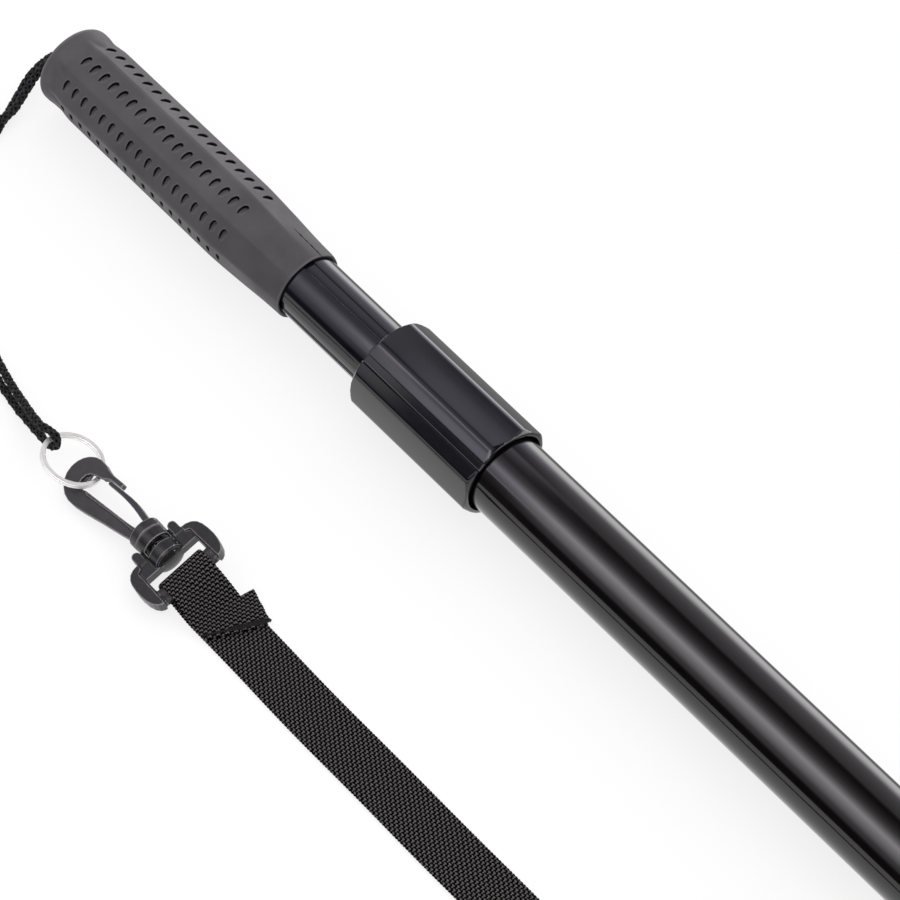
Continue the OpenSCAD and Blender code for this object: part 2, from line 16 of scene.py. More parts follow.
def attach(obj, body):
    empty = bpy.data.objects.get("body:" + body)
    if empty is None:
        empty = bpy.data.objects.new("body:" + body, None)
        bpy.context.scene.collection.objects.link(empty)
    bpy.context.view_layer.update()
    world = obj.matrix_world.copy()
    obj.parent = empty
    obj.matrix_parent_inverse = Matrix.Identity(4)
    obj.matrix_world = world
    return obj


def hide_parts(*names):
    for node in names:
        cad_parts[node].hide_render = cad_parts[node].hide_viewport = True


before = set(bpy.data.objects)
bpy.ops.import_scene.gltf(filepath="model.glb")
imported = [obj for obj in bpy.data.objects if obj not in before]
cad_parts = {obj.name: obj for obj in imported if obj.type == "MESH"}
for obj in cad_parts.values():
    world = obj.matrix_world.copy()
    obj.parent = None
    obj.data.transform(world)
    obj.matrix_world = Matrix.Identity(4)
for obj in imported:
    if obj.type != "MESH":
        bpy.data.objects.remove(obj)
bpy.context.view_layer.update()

MM = 0.001
FLOOR_Z = -18.4

# --------------------------------------------------------------------------
# numbers and profiles
# --------------------------------------------------------------------------


def smoothstep(low, high, x):
    part = min(max((x - low) / (high - low), 0.0), 1.0)
    return part * part * (3 - 2 * part)


def bell(offset, width):
    return math.exp(-(offset / width) ** 2)


def soft_min(first, second, soft):
    """The smaller value, with a small radius where the two cross."""
    return -soft * math.log(math.exp(-first / soft) + math.exp(-second / soft))


def interp(table, x):
    return float(np.interp(x, [row[0] for row in table], [row[1] for row in table]))


def smooth_profile(table, x, window):
    """The table averaged over a short window, so that the profile has no corners."""
    return sum(interp(table, x + window * k) for k in (-1, -0.5, 0, 0.5, 1)) / 5.0


def fold(angle, centre, count):
    """Signed angle to the nearest of count equally spaced centres."""
    step = 2 * math.pi / count
    return (angle - centre + step / 2) % step - step / 2


def around(first, count, sector):
    """A sector of angles in degrees, repeated count times round the circle; in radians."""
    return [first + k * 2 * math.pi / count + math.radians(a) for k in range(count) for a in sector]


def mirrored(half):
    """Half a sector, up to and including 0, completed on the other side."""
    return half + [-a for a in reversed(half[1:-1])]


# --------------------------------------------------------------------------
# meshes
# --------------------------------------------------------------------------


def mesh_obj(name, verts, faces, mat, sharp=None):
    """A smooth-shaded object; edges steeper than sharp degrees stay crisp. verts in metres."""
    mesh = bpy.data.meshes.new(name)
    mesh.from_pydata([tuple(v) for v in verts], [], faces)
    mesh.update()
    edit = bmesh.new()
    edit.from_mesh(mesh)
    bmesh.ops.recalc_face_normals(edit, faces=edit.faces)
    edit.to_mesh(mesh)
    edit.free()
    obj = bpy.data.objects.new(name, mesh)
    bpy.context.scene.collection.objects.link(obj)
    mesh.materials.append(mat)
    mesh.polygons.foreach_set("use_smooth", [True] * len(mesh.polygons))
    if sharp is not None:
        mesh.set_sharp_from_angle(angle=math.radians(sharp))
    return obj


def place(obj, body, node):
    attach(obj, body)
    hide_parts(node)


def add_uv(obj, pairs):
    """One pair per vertex, in millimetres."""
    mesh = obj.data
    layer = mesh.uv_layers.new(name="weave")
    index = np.empty(len(mesh.loops), dtype=np.int32)
    mesh.loops.foreach_get("vertex_index", index)
    layer.data.foreach_set("uv", np.asarray(pairs, dtype=np.float32)[index].ravel())


def add_attr(obj, name, values):
    """One number per vertex, read by the material."""
    layer = obj.data.attributes.new(name, "FLOAT", "POINT")
    layer.data.foreach_set("value", np.asarray(values, dtype=np.float32))


def turned(name, rows, angles, mat, sharp):
    """A ring-shaped solid about X. rows: closed section, each a list of (x, radius) per angle."""
    verts = [(x * MM, radius * math.sin(a) * MM, radius * math.cos(a) * MM)
             for row in rows for (x, radius), a in zip(row, angles)]
    count = len(angles)
    faces = []
    for i in range(len(rows)):
        here, there = i * count, (i + 1) % len(rows) * count
        for j in range(count):
            k = (j + 1) % count
            faces.append((here + j, here + k, there + k, there + j))
    return mesh_obj(name, verts, faces, mat, sharp=sharp)


def lathe(name, stations, angles, outer, bore, mat, sharp):
    """A hollow turned piece: outer(x, angle) is its skin and bore(x) its inside."""
    rows = [[(x, outer(x, a)) for a in angles] for x in stations]
    rows += [[(x, bore(x))] * len(angles) for x in reversed(stations)]
    return turned(name, rows, angles, mat, sharp)


def frames_along(points):
    """(point, tangent, side, other side) along a path, without twist."""
    last = len(points) - 1
    tangents = [(points[min(i + 1, last)] - points[max(i - 1, 0)]).normalized()
                for i in range(last + 1)]
    side = Vector((0, 0, 1)) if abs(tangents[0].z) < 0.8 else Vector((0, 1, 0))
    side = (side - tangents[0] * side.dot(tangents[0])).normalized()
    out = []
    for point, tangent in zip(points, tangents):
        side = (side - tangent * side.dot(tangent)).normalized()
        out.append((point, tangent, side, tangent.cross(side)))
    return out


def tube_faces(base, rows, sides, caps=True):
    faces = []
    for i in range(rows - 1):
        for j in range(sides):
            here = base + i * sides + j
            beside = base + i * sides + (j + 1) % sides
            faces.append((here, beside, beside + sides, here + sides))
    if caps:
        end = base + (rows - 1) * sides
        faces.append(tuple(base + j for j in range(sides)))
        faces.append(tuple(end + j for j in reversed(range(sides))))
    return faces


def tube_along(points, radius, sides, verts, faces, caps=True):
    """Adds a round tube along points to verts and faces."""
    faces += tube_faces(len(verts), len(points), sides, caps)
    for point, _, side, other in frames_along(points):
        for j in range(sides):
            turn = 2 * math.pi * j / sides
            verts.append(point + side * (radius * math.cos(turn)) + other * (radius * math.sin(turn)))


def catmull(points, steps):
    """A Catmull-Rom curve with the given steps between each two points."""
    out = []
    last = len(points) - 1
    for i in range(last):
        before, start = points[max(i - 1, 0)], points[i]
        end, after = points[i + 1], points[min(i + 2, last)]
        for k in range(steps):
            part = k / steps
            out.append(0.5 * ((2 * start) + (end - before) * part
                              + (2 * before - 5 * start + 4 * end - after) * part * part
                              + (3 * start - before - 3 * end + after) * part * part * part))
    out.append(points[-1])
    return out


def resample(points, step):
    """Evenly spaced points along a path, and the length of the path."""
    reached = [0.0]
    for first, second in zip(points, points[1:]):
        reached.append(reached[-1] + (second - first).length)
    columns = np.array([tuple(p) for p in points]).T
    places = np.linspace(0, reached[-1], round(reached[-1] / step) + 1)
    even = [Vector([float(np.interp(s, reached, column)) for column in columns]) for s in places]
    return even, reached[-1]


# --------------------------------------------------------------------------
# node helpers
# --------------------------------------------------------------------------


class Graph:
    """Short calls that add nodes to a tree; each returns the new node's output."""

    def __init__(self, tree):
        self.tree = tree

    def feed(self, socket, value):
        """value: another socket to link, or a number, vector or RGB colour to set."""
        if isinstance(value, bpy.types.NodeSocket):
            self.tree.links.new(value, socket)
        elif socket.type == "RGBA":
            socket.default_value = (*value, 1)
        else:
            socket.default_value = value

    def node(self, kind, inputs=None, **settings):
        made = self.tree.nodes.new(kind)
        for key, value in settings.items():
            setattr(made, key, value)
        for key, value in (inputs or {}).items():
            self.feed(made.inputs[key], value)
        return made

    def ramp(self, fac, stops):
        """stops: (position, colour)"""
        made = self.node("ShaderNodeValToRGB", {"Fac": fac})
        elements = made.color_ramp.elements
        while len(elements) < len(stops):
            elements.new(0.5)
        for element, (position, colour) in zip(elements, stops):
            element.position = position
            element.color = (*colour, 1)
        return made.outputs["Color"]

    def remap(self, value, from_min=0.0, from_max=1.0, to_min=0.0, to_max=1.0):
        return self.node("ShaderNodeMapRange", {
            "From Min": from_min, "From Max": from_max, "To Min": to_min, "To Max": to_max,
            "Value": value}).outputs["Result"]

    def math(self, operation, *values):
        return self.node("ShaderNodeMath", dict(enumerate(values)), operation=operation).outputs[0]

    def mix(self, fac, first, second):
        # sockets 6 and 7 are the colour pair of the Mix node
        inputs = {0: fac, 6: first, 7: second}
        return self.node("ShaderNodeMix", data_type="RGBA", inputs=inputs).outputs[2]

    def mix_shader(self, fac, first, second):
        return self.node("ShaderNodeMixShader", {0: fac, 1: first, 2: second}).outputs[0]

    def axes(self, vector):
        return self.node("ShaderNodeSeparateXYZ", {0: vector}).outputs

    def glossy_ray(self):
        return self.node("ShaderNodeLightPath").outputs["Is Glossy Ray"]


class Mat(Graph):
    """A material round one Principled shader. Texture scales are per metre."""

    def __init__(self, name, rough, base, metallic=0.0, ior=1.5):
        self.material = bpy.data.materials.new(name)
        self.material.use_nodes = True
        super().__init__(self.material.node_tree)
        self.shader = self.tree.nodes["Principled BSDF"]
        for key, value in {"Base Color": base, "Roughness": rough,
                           "Metallic": metallic, "IOR": ior}.items():
            self.set(key, value)
        self.material.diffuse_color = (*base, 1)
        self.coord = self.node("ShaderNodeTexCoord").outputs["Object"]
        self.normal = None

    def set(self, name, value):
        self.feed(self.shader.inputs[name], value)

    def noise(self, scale, detail=3, rough=0.55, distortion=0.0, stretch=None):
        """stretch: scale per axis, ahead of the noise's own scale"""
        vector = self.coord
        if stretch:
            vector = self.node("ShaderNodeMapping",
                               {"Scale": stretch, "Vector": vector}).outputs["Vector"]
        return self.node("ShaderNodeTexNoise", {
            "Scale": scale, "Detail": detail, "Roughness": rough, "Distortion": distortion,
            "Vector": vector}).outputs["Fac"]

    def voronoi(self, scale):
        return self.node("ShaderNodeTexVoronoi",
                         {"Scale": scale, "Vector": self.coord}).outputs["Distance"]

    def bevel(self, radius):
        """radius in metres"""
        made = self.node("ShaderNodeBevel", {"Radius": radius}, samples=6)
        self.normal = made.outputs["Normal"]

    def bump(self, height, distance, strength):
        """distance in metres; bumps stack on the ones before"""
        inputs = {"Strength": strength, "Distance": distance, "Height": height}
        if self.normal is not None:
            inputs["Normal"] = self.normal
        self.normal = self.node("ShaderNodeBump", inputs).outputs["Normal"]

    def attr(self, name):
        return self.node("ShaderNodeAttribute", attribute_name=name,
                         attribute_type="GEOMETRY").outputs["Fac"]

    def done(self):
        if self.normal is not None:
            self.set("Normal", self.normal)
        return self.material


# --------------------------------------------------------------------------
# materials
# --------------------------------------------------------------------------


def rubber_mat():
    mat = Mat("grip_rubber_mat", rough=0.6, base=(0.07, 0.064, 0.07), ior=1.45)
    blotches = mat.noise(scale=38, detail=4, rough=0.6)
    grain = mat.noise(scale=900, detail=3, rough=0.6)
    colour = mat.ramp(blotches, [(0.3, (0.051, 0.0465, 0.053)), (0.5, (0.068, 0.062, 0.069)),
                                 (0.72, (0.089, 0.0815, 0.09))])
    specks = mat.ramp(mat.voronoi(scale=260), [
        (0.0, (0.13, 0.12, 0.125)), (0.045, (0.066, 0.06, 0.066)), (1.0, (0.066, 0.06, 0.066))])
    speck_share = 0.3
    colour = mat.mix(speck_share, colour, specks)
    # painted shade in the hollows and along the parting line; lips lighter: painted highlights on the
    # dimple lips and beside the parting line, and lighter rims and patches
    painted_shade, lip = mat.attr("painted_shade"), mat.attr("lip")
    shade_gain, shade_limit = 1.8, 1.0
    shade = mat.math("MINIMUM", mat.math("MULTIPLY", painted_shade, shade_gain), shade_limit)
    colour = mat.mix(shade, colour, (0.0006, 0.0005, 0.0006))
    colour = mat.mix(lip, colour, (0.16, 0.15, 0.155))
    mat.set("Base Color", colour)
    mat.set("Specular IOR Level", mat.remap(painted_shade, to_min=0.36, to_max=0.0))
    mat.set("Roughness", mat.remap(mat.noise(scale=120, detail=4), to_min=0.46, to_max=0.66))
    mat.bump(grain, distance=0.00006, strength=0.5)
    mat.bump(mat.noise(scale=2600, detail=2), distance=0.00002, strength=0.5)
    return mat.done()


def anodised_mat(name, base, rough, tint):
    """Gloss black anodised extrusion: draw lines along the tube, faint handling marks."""
    mat = Mat(name, rough=rough, base=base, ior=1.52)
    lines = mat.noise(scale=1.0, detail=4, rough=0.6, stretch=(3.0, 900.0, 900.0))
    marks = mat.noise(scale=60, detail=5, rough=0.7, distortion=0.6, stretch=(1.0, 1.6, 1.6))
    scratches = mat.noise(scale=1.0, detail=6, rough=0.75, distortion=1.2,
                          stretch=(110.0, 900.0, 900.0))
    mat.set("Base Color", mat.ramp(marks, [(0.35, base), (0.75, tint)]))
    scratch_level, scratch_rough = 0.66, 0.1
    scratched = mat.math("GREATER_THAN", scratches, scratch_level)
    mat.set("Roughness", mat.math(
        "ADD", mat.remap(marks, to_min=rough * 0.75, to_max=rough * 1.25),
        mat.math("MULTIPLY", scratched, scratch_rough)))
    mat.bump(lines, distance=0.00001, strength=0.5)
    mat.set("Coat Weight", 0.12)
    mat.set("Coat Roughness", 0.05)
    return mat.done()


def nylon_mat(name, base=(0.0105, 0.0096, 0.0108), rough=0.33, bevel=None):
    """Moulded nylon. Without a bevel the mesh has its own radii, and the colour gets a painted
    highlight on outer edges and painted shade in inner corners.
    """
    mat = Mat(name, rough=rough, base=base)
    if bevel:
        mat.bevel(bevel)
    colour = mat.ramp(mat.noise(scale=150, detail=4, rough=0.6), [
        (0.3, tuple(c * 0.72 for c in base)), (0.72, tuple(c * 1.45 for c in base))])
    if not bevel:
        # pointiness: 0 in hollows, 1 on outer edges, 0.5 on smooth faces
        pointiness = mat.node("ShaderNodeNewGeometry").outputs["Pointiness"]
        pointiness = mat.remap(pointiness, from_min=0.44, from_max=0.56)
        # gain, offset, colour: painted highlight on outer edges, then painted shade in inner corners
        for gain, offset, painted_tone in ((3.2, -1.8, (0.24, 0.23, 0.24)),
                                   (-3.4, 1.35, (0.0015, 0.0015, 0.0015))):
            mask = mat.math("MULTIPLY_ADD", pointiness, gain, offset)
            mask_floor, softness = 0.0, 0.1
            mask = mat.math("SMOOTH_MAX", mask, mask_floor, softness)
            colour = mat.mix(mask, colour, painted_tone)
    mat.set("Base Color", colour)
    mat.set("Specular IOR Level", mat.remap(mat.noise(scale=260, detail=5, rough=0.7),
                                            to_min=0.3, to_max=0.58))
    mat.set("Roughness", mat.remap(mat.noise(scale=420, detail=4, rough=0.65),
                                   to_min=rough - 0.12, to_max=rough + 0.16))
    mat.bump(mat.voronoi(scale=2200), distance=0.00003, strength=0.35)
    mat.bump(mat.noise(scale=700, detail=4), distance=0.00006, strength=0.5)
    return mat.done()


def plain_mat(name, dark, light, tones, gloss, gloss_range, grain, relief, bevel=None, **look):
    """Mottled between two colours. tones, gloss and grain are the settings of the noises
    behind colour, roughness and bump."""
    mat = Mat(name, **look)
    if bevel:
        mat.bevel(bevel)
    mat.set("Base Color", mat.ramp(mat.noise(**tones), [(0.3, dark), (0.7, light)]))
    mat.set("Roughness", mat.remap(mat.noise(**gloss),
                                   to_min=gloss_range[0], to_max=gloss_range[1]))
    mat.bump(mat.noise(**grain), **relief)
    return mat.done()


def acetal_mat():
    return plain_mat(
        "white_acetal_mat", rough=0.35, base=(0.74, 0.74, 0.7), ior=1.48, bevel=0.0003,
        dark=(0.7, 0.7, 0.66), light=(0.8, 0.8, 0.77), tones=dict(scale=120, detail=4),
        gloss=dict(scale=400, detail=3), gloss_range=(0.28, 0.45),
        grain=dict(scale=900, detail=3), relief=dict(distance=0.00003, strength=0.4))


def seal_mat():
    return plain_mat(
        "seal_rubber_mat", rough=0.7, base=(0.015, 0.015, 0.015),
        dark=(0.012, 0.012, 0.012), light=(0.024, 0.024, 0.024), tones=dict(scale=300, detail=4),
        gloss=dict(scale=500, detail=3), gloss_range=(0.6, 0.8),
        grain=dict(scale=1500, detail=3), relief=dict(distance=0.00004, strength=0.5))


def nickel_mat():
    return plain_mat(
        "nickel_mat", rough=0.4, base=(0.86, 0.85, 0.83), metallic=0.75,
        dark=(0.82, 0.81, 0.78), light=(0.9, 0.89, 0.87), tones=dict(scale=200, detail=4),
        gloss=dict(scale=700, detail=4, rough=0.7), gloss_range=(0.34, 0.5),
        grain=dict(scale=1.0, detail=3, stretch=(900, 900, 2500)),
        relief=dict(distance=0.00002, strength=0.4))


def stainless_mat():
    return plain_mat(
        "stainless_mat", rough=0.3, base=(0.55, 0.55, 0.55), metallic=1.0, bevel=0.0002,
        dark=(0.5, 0.5, 0.5), light=(0.62, 0.62, 0.62), tones=dict(scale=300, detail=4),
        gloss=dict(scale=900, detail=4), gloss_range=(0.22, 0.42),
        grain=dict(scale=1500, detail=3), relief=dict(distance=0.00002, strength=0.5))


def braid_mat():
    mat = Mat("braid_mat", rough=0.6, base=(0.012, 0.011, 0.0115))
    fibres = mat.noise(scale=2600, detail=3, rough=0.6)
    crown = mat.attr("crown")
    # painted shade: the lower the crown, the deeper the point lies between the strands and the darker
    # its colour
    colour = mat.ramp(crown, [(0.15, (0.0004, 0.0004, 0.0004)), (0.6, (0.0028, 0.0025, 0.0026)),
                              (0.92, (0.017, 0.0155, 0.016))])
    fibre_share = 0.3
    mat.set("Base Color", mat.mix(fibre_share, colour, mat.ramp(
        fibres, [(0.5, (0.0005, 0.0005, 0.0005)), (0.72, (0.05, 0.046, 0.046))])))
    mat.set("Specular IOR Level", mat.remap(crown, to_min=0.0, to_max=0.34))
    mat.set("Roughness", mat.remap(mat.noise(scale=800, detail=3), to_min=0.42, to_max=0.75))
    mat.bump(fibres, distance=0.00014, strength=0.8)
    return mat.done()


# the floats of a broken twill as a sum of cosines about the middle height:
# waves per mm along, waves per mm across, strength, phase
WEAVE_MIDDLE = 0.5
WEAVE_WAVES = (
    (0.765, 0.0, 0.25, 0.0), (0.36, 0.55, 0.18, 0.0), (-0.045, 1.1, 0.17, -2.0),
    (0.405, -0.55, 0.05, 0.5), (1.125, 0.55, 0.08, 2.0), (1.17, -0.55, 0.075, -1.7),
    (1.53, 0.0, 0.045, -1.0))


def weave_height(across, along):
    """0..1, at a place in mm"""
    return WEAVE_MIDDLE + sum(
        strength * math.cos(2 * math.pi * (per_along * along + per_across * across) + phase)
        for per_along, per_across, strength, phase in WEAVE_WAVES)


def webbing_mat():
    mat = Mat("webbing_mat", rough=0.6, base=(0.03, 0.029, 0.031))
    place_on_web = mat.node("ShaderNodeUVMap", uv_map="weave").outputs["UV"]
    across, along, _ = mat.axes(place_on_web)
    noise_middle = 0.5

    def wander(coordinate, scale, amount):
        """Shifts the weave a little, so that the yarns don't run dead straight."""
        shift = mat.math("SUBTRACT", mat.noise(scale=scale, detail=2), noise_middle)
        return mat.math("ADD", coordinate, mat.math("MULTIPLY", shift, amount))

    across = wander(across, scale=240, amount=0.7)
    along = wander(along, scale=170, amount=0.8)
    height = WEAVE_MIDDLE
    for per_along, per_across, strength, phase in WEAVE_WAVES:
        turn = mat.math("ADD", mat.math("MULTIPLY_ADD", along, per_along * 2 * math.pi, phase),
                        mat.math("MULTIPLY", across, per_across * 2 * math.pi))
        height = mat.math("MULTIPLY_ADD", mat.math("COSINE", turn), strength, height)
    # filaments inside each yarn
    filaments = mat.node("ShaderNodeTexWave", {
        "Scale": 2.2, "Distortion": 3.0, "Detail": 2.0, "Vector": place_on_web},
        wave_type="BANDS", bands_direction="X").outputs["Fac"]
    filament_depth = 0.16
    height = mat.math("MULTIPLY_ADD", mat.math("SUBTRACT", filaments, noise_middle),
                      filament_depth, height)
    # the weave pattern is real; its colour follows the weave's height: painted shade in the low gaps
    # between floats, a painted sheen on the raised floats
    mat.set("Base Color", mat.ramp(height, [
        (0.12, (0.0003, 0.0002, 0.0002)), (0.34, (0.0018, 0.0014, 0.0015)),
        (0.54, (0.0145, 0.0128, 0.0133)), (0.78, (0.068, 0.0615, 0.063)),
        (1.0, (0.13, 0.12, 0.122))]))
    no_specular = 0.0
    mat.set("Specular IOR Level", mat.math(
        "MAXIMUM", mat.remap(height, to_min=-0.16, to_max=0.46), no_specular))
    mat.set("Roughness", mat.remap(height, to_min=0.8, to_max=0.5))
    mat.bump(height, distance=0.00032, strength=0.8)
    return mat.done()


def thread_mat():
    mat = Mat("thread_mat", rough=0.6, base=(0.02, 0.017, 0.018))
    fibres = mat.noise(scale=3000, detail=3)
    mat.set("Base Color", mat.ramp(fibres, [(0.35, (0.0022, 0.0015, 0.0018)),
                                            (0.75, (0.024, 0.019, 0.021))]))
    mat.set("Specular IOR Level", mat.remap(fibres, to_min=0.05, to_max=0.3))
    mat.set("Roughness", mat.remap(mat.noise(scale=900, detail=2), to_min=0.5, to_max=0.75))
    mat.bump(fibres, distance=0.0001, strength=0.6)
    return mat.done()


RUBBER = rubber_mat()
INNER_BLACK = anodised_mat("inner_anodised_mat", base=(0.0024, 0.0024, 0.0042), rough=0.09,
                           tint=(0.0045, 0.0045, 0.0075))
OUTER_BLACK = anodised_mat("outer_anodised_mat", base=(0.0026, 0.002, 0.0018), rough=0.08,
                           tint=(0.0045, 0.0034, 0.0034))
COLLAR_BLACK = anodised_mat("collar_anodised_mat", base=(0.0028, 0.0028, 0.0044), rough=0.06,
                            tint=(0.005, 0.005, 0.0075))
NYLON = nylon_mat("black_nylon_mat")
NYLON_HOOK = nylon_mat("black_nylon_hook_mat", base=(0.019, 0.0165, 0.0172), rough=0.36)
NYLON_FRAME = nylon_mat("black_nylon_frame_mat", base=(0.0095, 0.0086, 0.0092), rough=0.3)
NYLON_CAD = nylon_mat("black_nylon_edge_mat", bevel=0.0004)
ACETAL = acetal_mat()
SEAL = seal_mat()
BRAID = braid_mat()
WEBBING = webbing_mat()
THREAD = thread_mat()
NICKEL = nickel_mat()
STEEL = stainless_mat()

# CAD pieces that are shown as they are
CAD_LOOKS = {
    "butt_plug": NYLON_CAD, "threaded_ferrule": NYLON_CAD, "guide_bush": ACETAL,
    "inner_end_plug": ACETAL, "collet": ACETAL, "wiper_ring": SEAL, "head_screws": STEEL}
for piece, look in CAD_LOOKS.items():
    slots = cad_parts[piece].data.materials
    slots.clear()
    slots.append(look)

# --------------------------------------------------------------------------
# grip: eight faces, a row of dimples on each, a flange at the butt and a rolled mouth
# --------------------------------------------------------------------------

GRIP_LEN = 133.5
GRIP_FACES = 8
FACE_ANGLE = math.radians(-10)      # middle of the first face and its dimples
DIMPLE_START, DIMPLE_PITCH, DIMPLE_COUNT = 13.1, 5.22, 18
DIMPLE_END = DIMPLE_START + (DIMPLE_COUNT - 1) * DIMPLE_PITCH
DIMPLE_HALF_LENGTH, DIMPLE_HALF_WIDTH, DIMPLE_DEPTH = 1.42, 2.5, 0.85
DIMPLE_RADIUS = 15.2                # turns angles on a face into widths
PARTING_ANGLE = math.radians(29)
MOUTH_RADIUS = 14                   # turns angles near the mouth into widths
PARTING_WIDTH = 0.2
# x, radius
GRIP_PROFILE = [
    (-1, 14.75), (0.0, 14.75), (0.6, 15.4), (1.6, 15.72), (4.4, 15.72), (6.6, 15.2),
    (8.8, 14.98), (11, 15.3), (14.5, 15.72), (96, 15.72), (103, 15.4), (108, 15.1),
    (114, 14.8), (123, 14.3), (130, 14.05), (132.6, 14.0), (133.5, 13.72), (135, 13.72)]
# x, radius from the mouth through the bore and back over the butt face
GRIP_INSIDE = [
    (GRIP_LEN - 0.5, 12.56), (120, 12.53), (90, 12.53), (60, 12.53), (30, 12.53), (3.0, 12.53),
    (3.0, 4.2), (0.3, 4.2), (0.0, 4.5), (0.0, 9.5), (0.0, 13.9)]
# x before the dimples, and distances from the mouth after them
GRIP_BUTT_STATIONS = [
    0, 0.15, 0.35, 0.6, 0.9, 1.2, 1.6, 2.0, 2.6, 3.2, 3.8, 4.4, 5.0, 5.6, 6.2, 6.8, 7.4, 8.0,
    8.6, 9.2, 9.8, 10.4]
GRIP_MOUTH_STEPS = [2.0, 1.4, 0.9, 0.55, 0.3, 0.12, 0]
# degrees across one face
GRIP_SECTOR = ([-22.5, -21.6, -20.4, -19.2, -18, -15, -12] + [-9.9 + 0.9 * k for k in range(23)]
               + [12, 15, 18, 19.2, 20.4, 21.6])


def dimple(x, angle):
    """Depth of the dimple pattern, how deep in the painted shade the point is, and its lip: raised a
    little and lightened as a painted highlight.
    """
    start = x - DIMPLE_START
    number = round(start / DIMPLE_PITCH)
    if not 0 <= number < DIMPLE_COUNT:
        return 0.0, 0.0, 0.0
    along = (start - number * DIMPLE_PITCH) / DIMPLE_HALF_LENGTH
    across = fold(angle, FACE_ANGLE, GRIP_FACES) * DIMPLE_RADIUS / DIMPLE_HALF_WIDTH
    rim = math.hypot(along, across)     # 1 on the oval outline
    if rim > 1.5:
        return 0.0, 0.0, 0.0
    # the floor rises along this slanted direction, from a steep wall to nothing
    slant = 0.8 * along - 0.6 * across
    inside = 1 - smoothstep(0.86, 1.02, rim)
    depth = DIMPLE_DEPTH * inside * (1 - 0.92 * smoothstep(-0.95, 0.6, slant))
    wall = 1 - smoothstep(-0.9, -0.72, slant)
    floor_shade = 0.1 * (1 - smoothstep(-0.4, 0.5, slant))
    shade = (1 - smoothstep(0.92, 1.03, rim)) * (0.85 * wall + (1 - wall) * floor_shade)
    # the painted dark line of shade follows the steep wall round the oval
    shade = max(shade, 0.95 * bell(rim - 0.9, 0.14) * (1 - smoothstep(-0.15, 0.28, slant)))
    # a sharp lip beside the steep wall and a low lip opposite, raised a little and lightened as a
    # painted highlight
    lip = 1.3 * bell(rim - 1.12, 0.07) * smoothstep(0.0, 0.5, -slant)
    lip = max(lip, 0.7 * bell(rim - 0.82, 0.09) * smoothstep(0.35, 0.8, slant))
    return depth, shade, lip


def grip_outer(x, angle):
    near_end = x < 3 or x > 131
    base = smooth_profile(GRIP_PROFILE, x, 0.35 if near_end else 1.2)
    from_face = fold(angle, FACE_ANGLE, GRIP_FACES)
    # the faces start in scallops beside the butt flange and fade towards the mouth
    scallop = math.cos(8 * from_face)
    strength = (smoothstep(6.4 + 1.8 * scallop, 10.4 + 2.6 * scallop, x)
                * (1 - 0.75 * smoothstep(108, 130, x)))
    ridge = base + 0.33
    flat = (base - 0.62) / math.cos(from_face)
    faceted = soft_min(flat - base, ridge - base, soft=0.035) + base
    depth, _, lip = dimple(x, angle)
    radius = base + (faceted - base) * strength + (0.1 * lip - depth)
    # mould parting line near the mouth
    if x > 108:
        offset = fold(angle, PARTING_ANGLE, 1) * MOUTH_RADIUS
        radius -= 0.3 * bell(offset, PARTING_WIDTH) * smoothstep(117, 121, x)
    return radius


def grip_shade(x, angle):
    """Painted shade and lighter marks of the skin, for the material: painted highlights on the dimple
    lips and beside the parting line, lighter rims and patches.
    """
    _, shade, lip = dimple(x, angle)
    if x > 112:
        # the parting line wanders a little; painted shade runs along its groove and a painted
        # highlight beside it
        offset = fold(angle, PARTING_ANGLE, 1)
        offset += 0.012 * math.sin(x * 2.1) + 0.008 * math.sin(x * 5.3)
        offset *= MOUTH_RADIUS
        fade = smoothstep(117, 121, x)
        shade = max(shade, 0.9 * bell(offset, PARTING_WIDTH) * fade)
        lip = max(lip, 0.5 * bell(offset - 0.45, PARTING_WIDTH) * fade)
    # lighter rim of the mouth and of the butt flange
    mouth = 0.75 * smoothstep(GRIP_LEN - 0.75, GRIP_LEN - 0.3, x)
    lip = max(lip, mouth * (0.7 + 0.3 * math.sin(5 * angle + 1)))
    lip = max(lip, 0.5 * smoothstep(0.2, 0.7, x) * (1 - smoothstep(1.2, 1.9, x)))
    # lighter patches where the faces run into the flange
    lighter_patch = (0.5 + 0.5 * math.sin(8 * (angle - FACE_ANGLE) + 2.2)) * bell(x - 5.2, 2.4)
    lip = max(lip, 0.3 * lighter_patch * (0.6 + 0.4 * math.sin(3.1 * angle + x)))
    return shade, 0.55 * lip


def grip_stations():
    stations = list(GRIP_BUTT_STATIONS)
    x = 10.9
    while x < DIMPLE_END + 2.6:
        stations.append(x)
        # finest on the steep wall of a dimple, coarse between dimples
        offset = (x - DIMPLE_START + DIMPLE_PITCH / 2) % DIMPLE_PITCH - DIMPLE_PITCH / 2
        x += 0.15 if -1.7 < offset < -0.5 else (0.25 if -2.0 < offset < 1.5 else 0.5)
    while x < GRIP_LEN - 2.2:
        stations.append(x)
        x += 1.0
    return stations + [GRIP_LEN - step for step in GRIP_MOUTH_STEPS]


